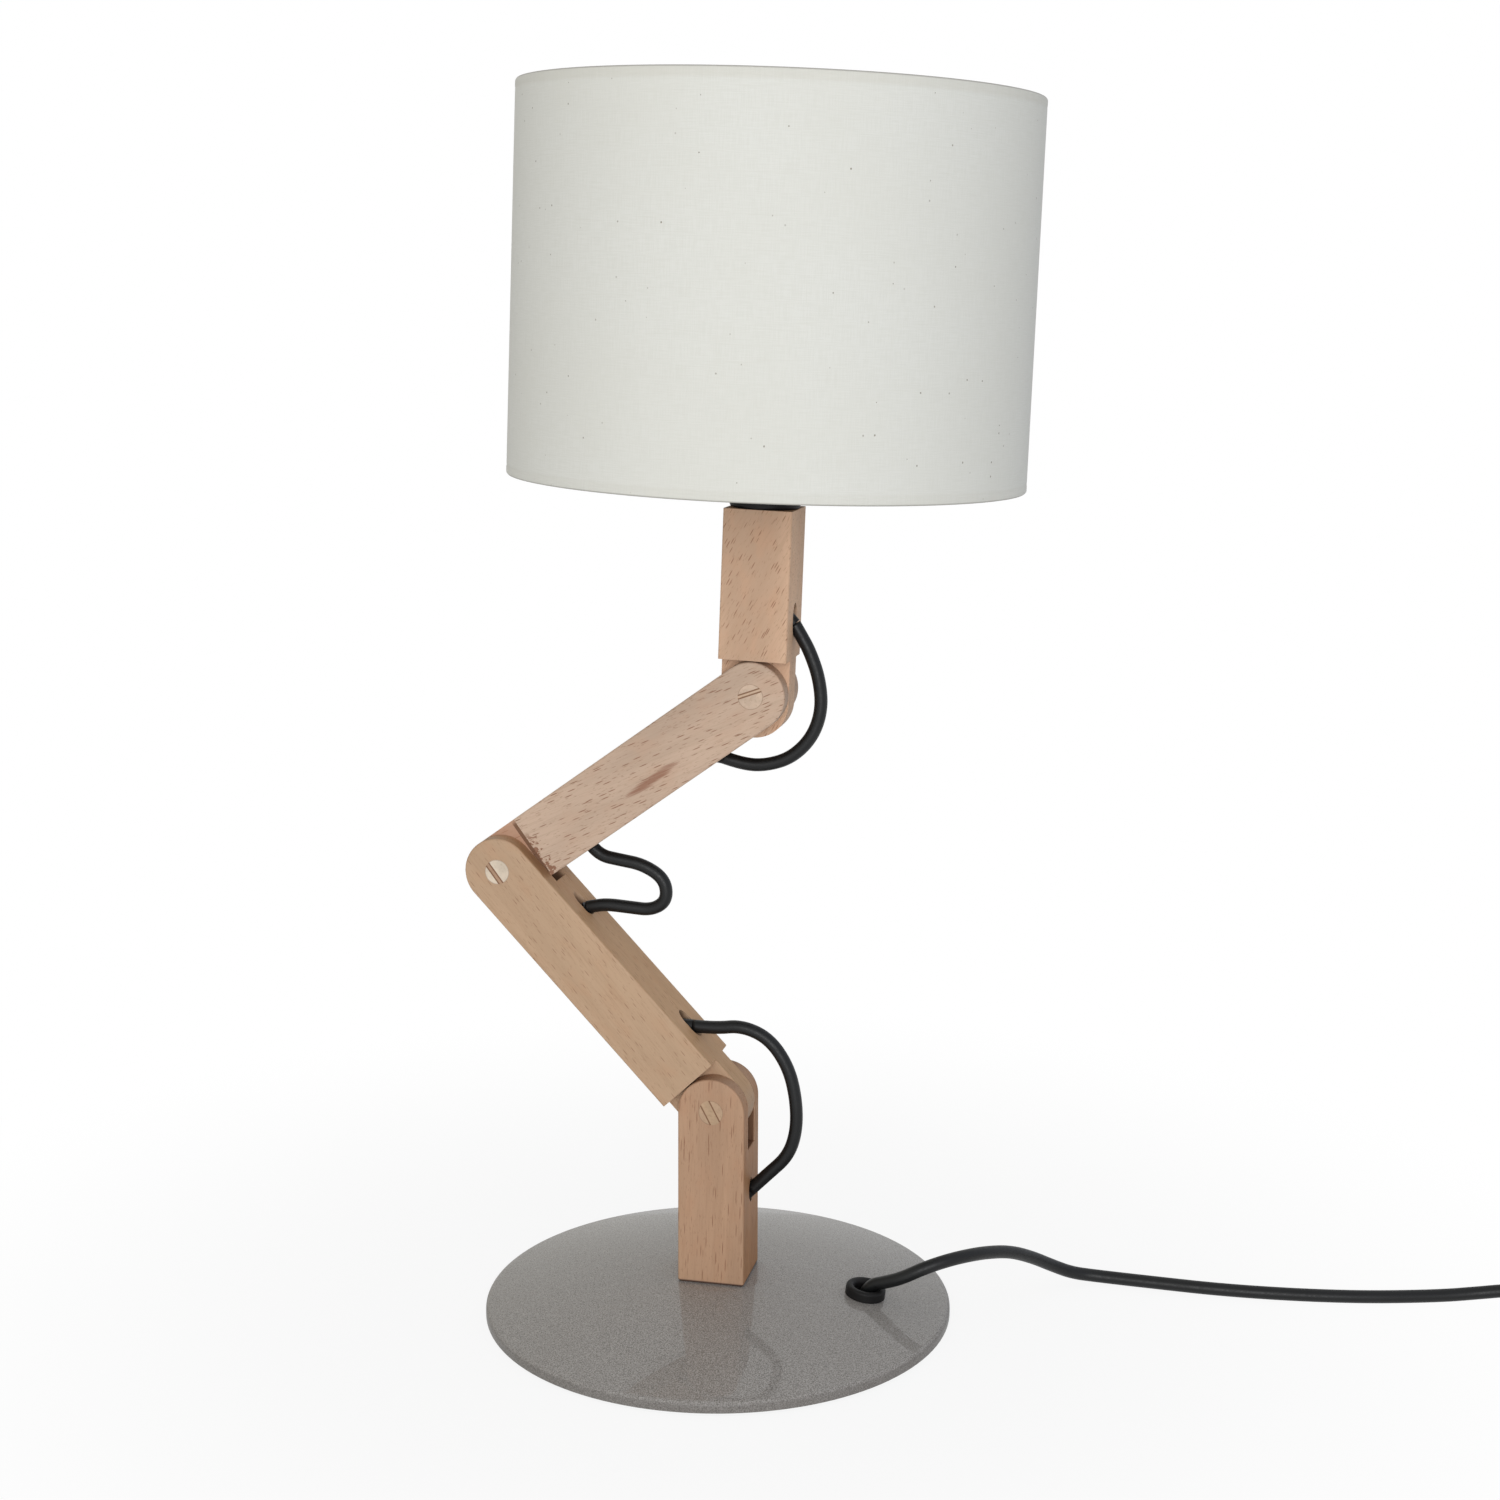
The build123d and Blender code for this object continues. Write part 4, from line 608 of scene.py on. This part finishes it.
def coil_points(middle, outer, pitch, half_turns, inset, height, per_half=8):
    """Points of a spiral in below, up a layer in the half turn where it reverses, and out above."""
    steps = list(range(half_turns + 1)) + list(range(half_turns, -1, -1))
    radii = [outer - step * pitch / 2 - (inset if step == half_turns else 0) for step in steps]
    swell = 1 / (0.75 + 0.25 * math.cos(math.pi / per_half))
    points = []
    for index, (here, after) in enumerate(zip(radii, radii[1:])):
        side = 1 if index % 2 == 0 else -1
        radius = (here + after) / 2
        centre = middle[1] + side * (here - after) / 2
        for step in range(per_half):
            share = step / per_half
            turn = math.pi * (side / 2 - share)
            climb = 0 if index < half_turns else 1
            if index == half_turns:
                climb = share
            grow = swell if index or step else 1
            points.append((
                middle[0] + radius * grow * math.cos(turn), centre + radius * grow * math.sin(turn),
                height + climb * pitch,
            ))
    points.append((middle[0], middle[1] - radii[-1], height + pitch))
    return points


spare_points = [(380.0, 73.0, 7.0), (388.0, 73.0, 6.6), (400.0, 72.2, 4.8), (412.0, 71.4, 4.1), (421.8, 71.4, 4.1)]
spare_points += coil_points(middle=(427.0, 30.4), outer=41.0, pitch=5.8, half_turns=7, inset=0.8, height=4.1)
spare_points += [(421.8, -10.6, 9.9), (415.0, -10.6, 9.9), (405.5, -10.6, 6.95), (396.0, -10.6, 6.95)]
spare = cord_curve("mains_lead_coil", spare_points)
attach(spare, "base")
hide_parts("cord_link", "cord_coil", "cord_tail")

# Shade cloth: a drum with turned hems and a lapped seam at the back, in millimetres above the upper pin. Its outside
# is drawn in a little, so that its waves stay within the solid.
SHADE = {"radius": 100.0, "low": 82.8, "high": 229.8, "flap": 8.0, "fold": 0.9, "line": 3.2}
DRUM_SIDES, DRUM_ROWS, FOLD_STEPS = 256, 12, 8
SEAM = {"start": math.radians(90), "width": math.radians(6.5), "rise": 0.25}
DRAWN_IN = 0.12
head_place = Matrix.Translation(UPPER_PIN * MM) @ Matrix.Rotation(math.radians(HEAD_LEAN), 4, "Y")


def drum_profile():
    """From the bottom's inside flap over its folded edge, up the outside, and over the top edge to its flap."""
    face, low, high, flap = SHADE["radius"], SHADE["low"], SHADE["high"], SHADE["flap"]
    fold, line = SHADE["fold"], SHADE["line"]
    inner = face - 1.8
    edge = [(face - 1.2, flap), (inner + 0.05, flap), (inner, flap - 0.6), (inner, fold)]
    for step in range(1, FOLD_STEPS):
        turn = math.pi * step / FOLD_STEPS
        edge.append((face - fold - fold * math.cos(turn), fold - fold * math.sin(turn)))
    edge += [(face, fold), (face, line - 0.7), (face - 0.05, line - 0.3), (face - 0.14, line)]
    edge += [(face - 0.08, line + 0.4), (face - 0.05, line + 1.2)]
    tall = high - low - 2 * flap
    rises = [(face - 0.05, low + flap + tall * step / DRUM_ROWS) for step in range(DRUM_ROWS + 1)]
    bottom = [(radius, low + height) for radius, height in edge]
    top = [(radius, high - height) for radius, height in reversed(edge)]
    return bottom + rises + top


def profile_lengths(profile):
    """Length along a profile up to each of its points."""
    lengths = [0.0]
    for (r0, z0), (r1, z1) in zip(profile, profile[1:]):
        lengths.append(lengths[-1] + math.hypot(r1 - r0, z1 - z0))
    return lengths


def build_drum(work):
    """The drum, slightly wavy on its outside, with coordinates in metres round it and along its cloth."""
    profile = drum_profile()
    lengths = profile_lengths(profile)
    layer = work.loops.layers.uv.new("UVMap")
    columns = []
    for step in range(DRUM_SIDES):
        angle = 2 * math.pi * step / DRUM_SIDES
        swing = 0.07 * math.sin(3 * angle + 0.6) + 0.05 * math.sin(7 * angle + 2.1)
        gap = (angle - SEAM["start"] + math.pi) % (2 * math.pi) - math.pi
        raised = SEAM["rise"] if 0 <= gap < SEAM["width"] else 0.0
        column = []
        for radius, height in profile:
            outside = 1.0 if radius > SHADE["radius"] - 0.3 else 0.0
            reach = radius + (swing - DRAWN_IN + raised) * outside
            point = (reach * math.cos(angle), reach * math.sin(angle), height)
            column.append(work.verts.new([value * MM for value in point]))
        columns.append(column)
    around = 2 * math.pi * SHADE["radius"] * MM
    for step in range(DRUM_SIDES):
        here, after = columns[step], columns[(step + 1) % DRUM_SIDES]
        u0, u1 = around * step / DRUM_SIDES, around * (step + 1) / DRUM_SIDES
        for index in range(len(profile) - 1):
            face = work.faces.new((here[index], after[index], after[index + 1], here[index + 1]))
            v0, v1 = lengths[index] * MM, lengths[index + 1] * MM
            for loop, place_uv in zip(face.loops, ((u0, v0), (u1, v0), (u1, v1), (u0, v1))):
                loop[layer].uv = place_uv


shade = mesh_object("shade_drum", build_drum, cotton(profile_lengths(drum_profile())[-1]))
shade.data.transform(head_place)
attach(shade, "head")
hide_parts("shade_cloth")


# Floor: half its width, how far it lies below the lamp's foot, and the distances between which its shadow fades
FLOOR_HALF, FLOOR_DROP = 4.0, 0.0004
SHADOW_FADE = (0.1, 0.42)


def seen_rays(tree):
    """Light paths, and 1 for those that go from the camera straight or through glass."""
    rays = add(tree, "LightPath").outputs
    return rays, calc(tree, "MAXIMUM", rays["Is Camera Ray"], rays["Is Transmission Ray"])


def floor_finish():
    """White to the camera and in reflections, with a soft shadow of the lamp."""
    made = bpy.data.materials.new("studio_floor")
    made.use_nodes = True
    tree = made.node_tree
    tree.nodes.clear()
    grain = noise(tree, place(tree), 220, 2)
    tint = mix(tree, grain, (0.83, 0.83, 0.83, 1), (0.86, 0.86, 0.86, 1))
    lit = add(tree, "BsdfDiffuse", {"Color": tint})
    glow = add(tree, "Emission", {"Color": (1, 1, 1, 1), "Strength": 1.0})
    rays, seen = seen_rays(tree)
    seen = calc(tree, "MAXIMUM", seen, rays["Is Glossy Ray"])
    here = add(tree, "TexCoord").outputs["Object"]
    reach = add(tree, "VectorMath", {0: here}, operation="LENGTH").outputs["Value"]
    share = calc(tree, "MULTIPLY", seen, remap(tree, reach, *SHADOW_FADE, 0.88, 1.0))
    both = add(tree, "MixShader", {0: share, 1: lit.outputs[0], 2: glow.outputs[0]})
    add(tree, "OutputMaterial", {"Surface": both.outputs[0]})
    return made


def build_floor(work):
    corners = ((-1, -1), (1, -1), (1, 1), (-1, 1))
    work.faces.new([work.verts.new((x * FLOOR_HALF, y * FLOOR_HALF, -FLOOR_DROP)) for x, y in corners])


mesh_object("floor", build_floor, floor_finish(), smooth=False)

# World: white behind the lamp, a softer light on it that is warmer from the left, and in between in reflections
LEFT_LIGHT, RIGHT_LIGHT = (1.0, 0.98, 0.915, 1), (0.975, 1.015, 1.09, 1)
SOFT_LIGHT, GLOSSY_MORE = 0.5, 0.33
scene = bpy.context.scene
world = bpy.data.worlds.new("studio")
scene.world = world
world.use_nodes = True
sky = world.node_tree
sky.nodes.clear()
rays, seen = seen_rays(sky)
strength = add(sky, "MapRange", {"Value": seen, "To Min": SOFT_LIGHT, "To Max": 1.0}).outputs[0]
strength = calc(sky, "ADD", strength, calc(sky, "MULTIPLY", rays["Is Glossy Ray"], GLOSSY_MORE))
sideways = add(sky, "SeparateXYZ", {0: add(sky, "TexCoord").outputs["Generated"]}).outputs["X"]
tint = mix(sky, remap(sky, sideways, -0.8, 0.8), LEFT_LIGHT, RIGHT_LIGHT)
tint = mix(sky, seen, tint, (1, 1, 1, 1))
backdrop = add(sky, "Background", {"Color": tint, "Strength": strength})
add(sky, "OutputWorld", {"Surface": backdrop.outputs[0]})

# Key light, large and soft, from the front right
KEY_SPOT, KEY_TARGET = Vector((0.36, -1.85, 0.52)), Vector((0.0, 0.0, 0.28))
key_data = bpy.data.lights.new("key", "AREA")
key_data.shape = "DISK"
key_data.size = 1.2
key_data.energy = 17.0
key = bpy.data.objects.new("key", key_data)
key.location = KEY_SPOT
key.rotation_euler = (KEY_TARGET - KEY_SPOT).to_track_quat("-Z", "Y").to_euler()
scene.collection.objects.link(key)

# Camera, fitted to the photograph: place in metres, and its heading, downward tilt and roll in degrees
CAMERA_SPOT = (0.20808, -0.86946, 0.4046)
HEADING, TILT, ROLL = [math.radians(angle) for angle in (12.698, 7.804, 0.222)]
camera_data = bpy.data.cameras.new("camera")
camera_data.sensor_width = 36.0
camera_data.lens = 55.37
camera_data.shift_y = -0.0867
camera = bpy.data.objects.new("camera", camera_data)
turn = Matrix.Rotation(HEADING, 4, "Z") @ Matrix.Rotation(math.pi / 2 - TILT, 4, "X")
turn = turn @ Matrix.Rotation(ROLL, 4, "Z")
camera.matrix_world = Matrix.Translation(CAMERA_SPOT) @ turn
scene.collection.objects.link(camera)
scene.camera = camera
scene.view_settings.view_transform = "Standard"
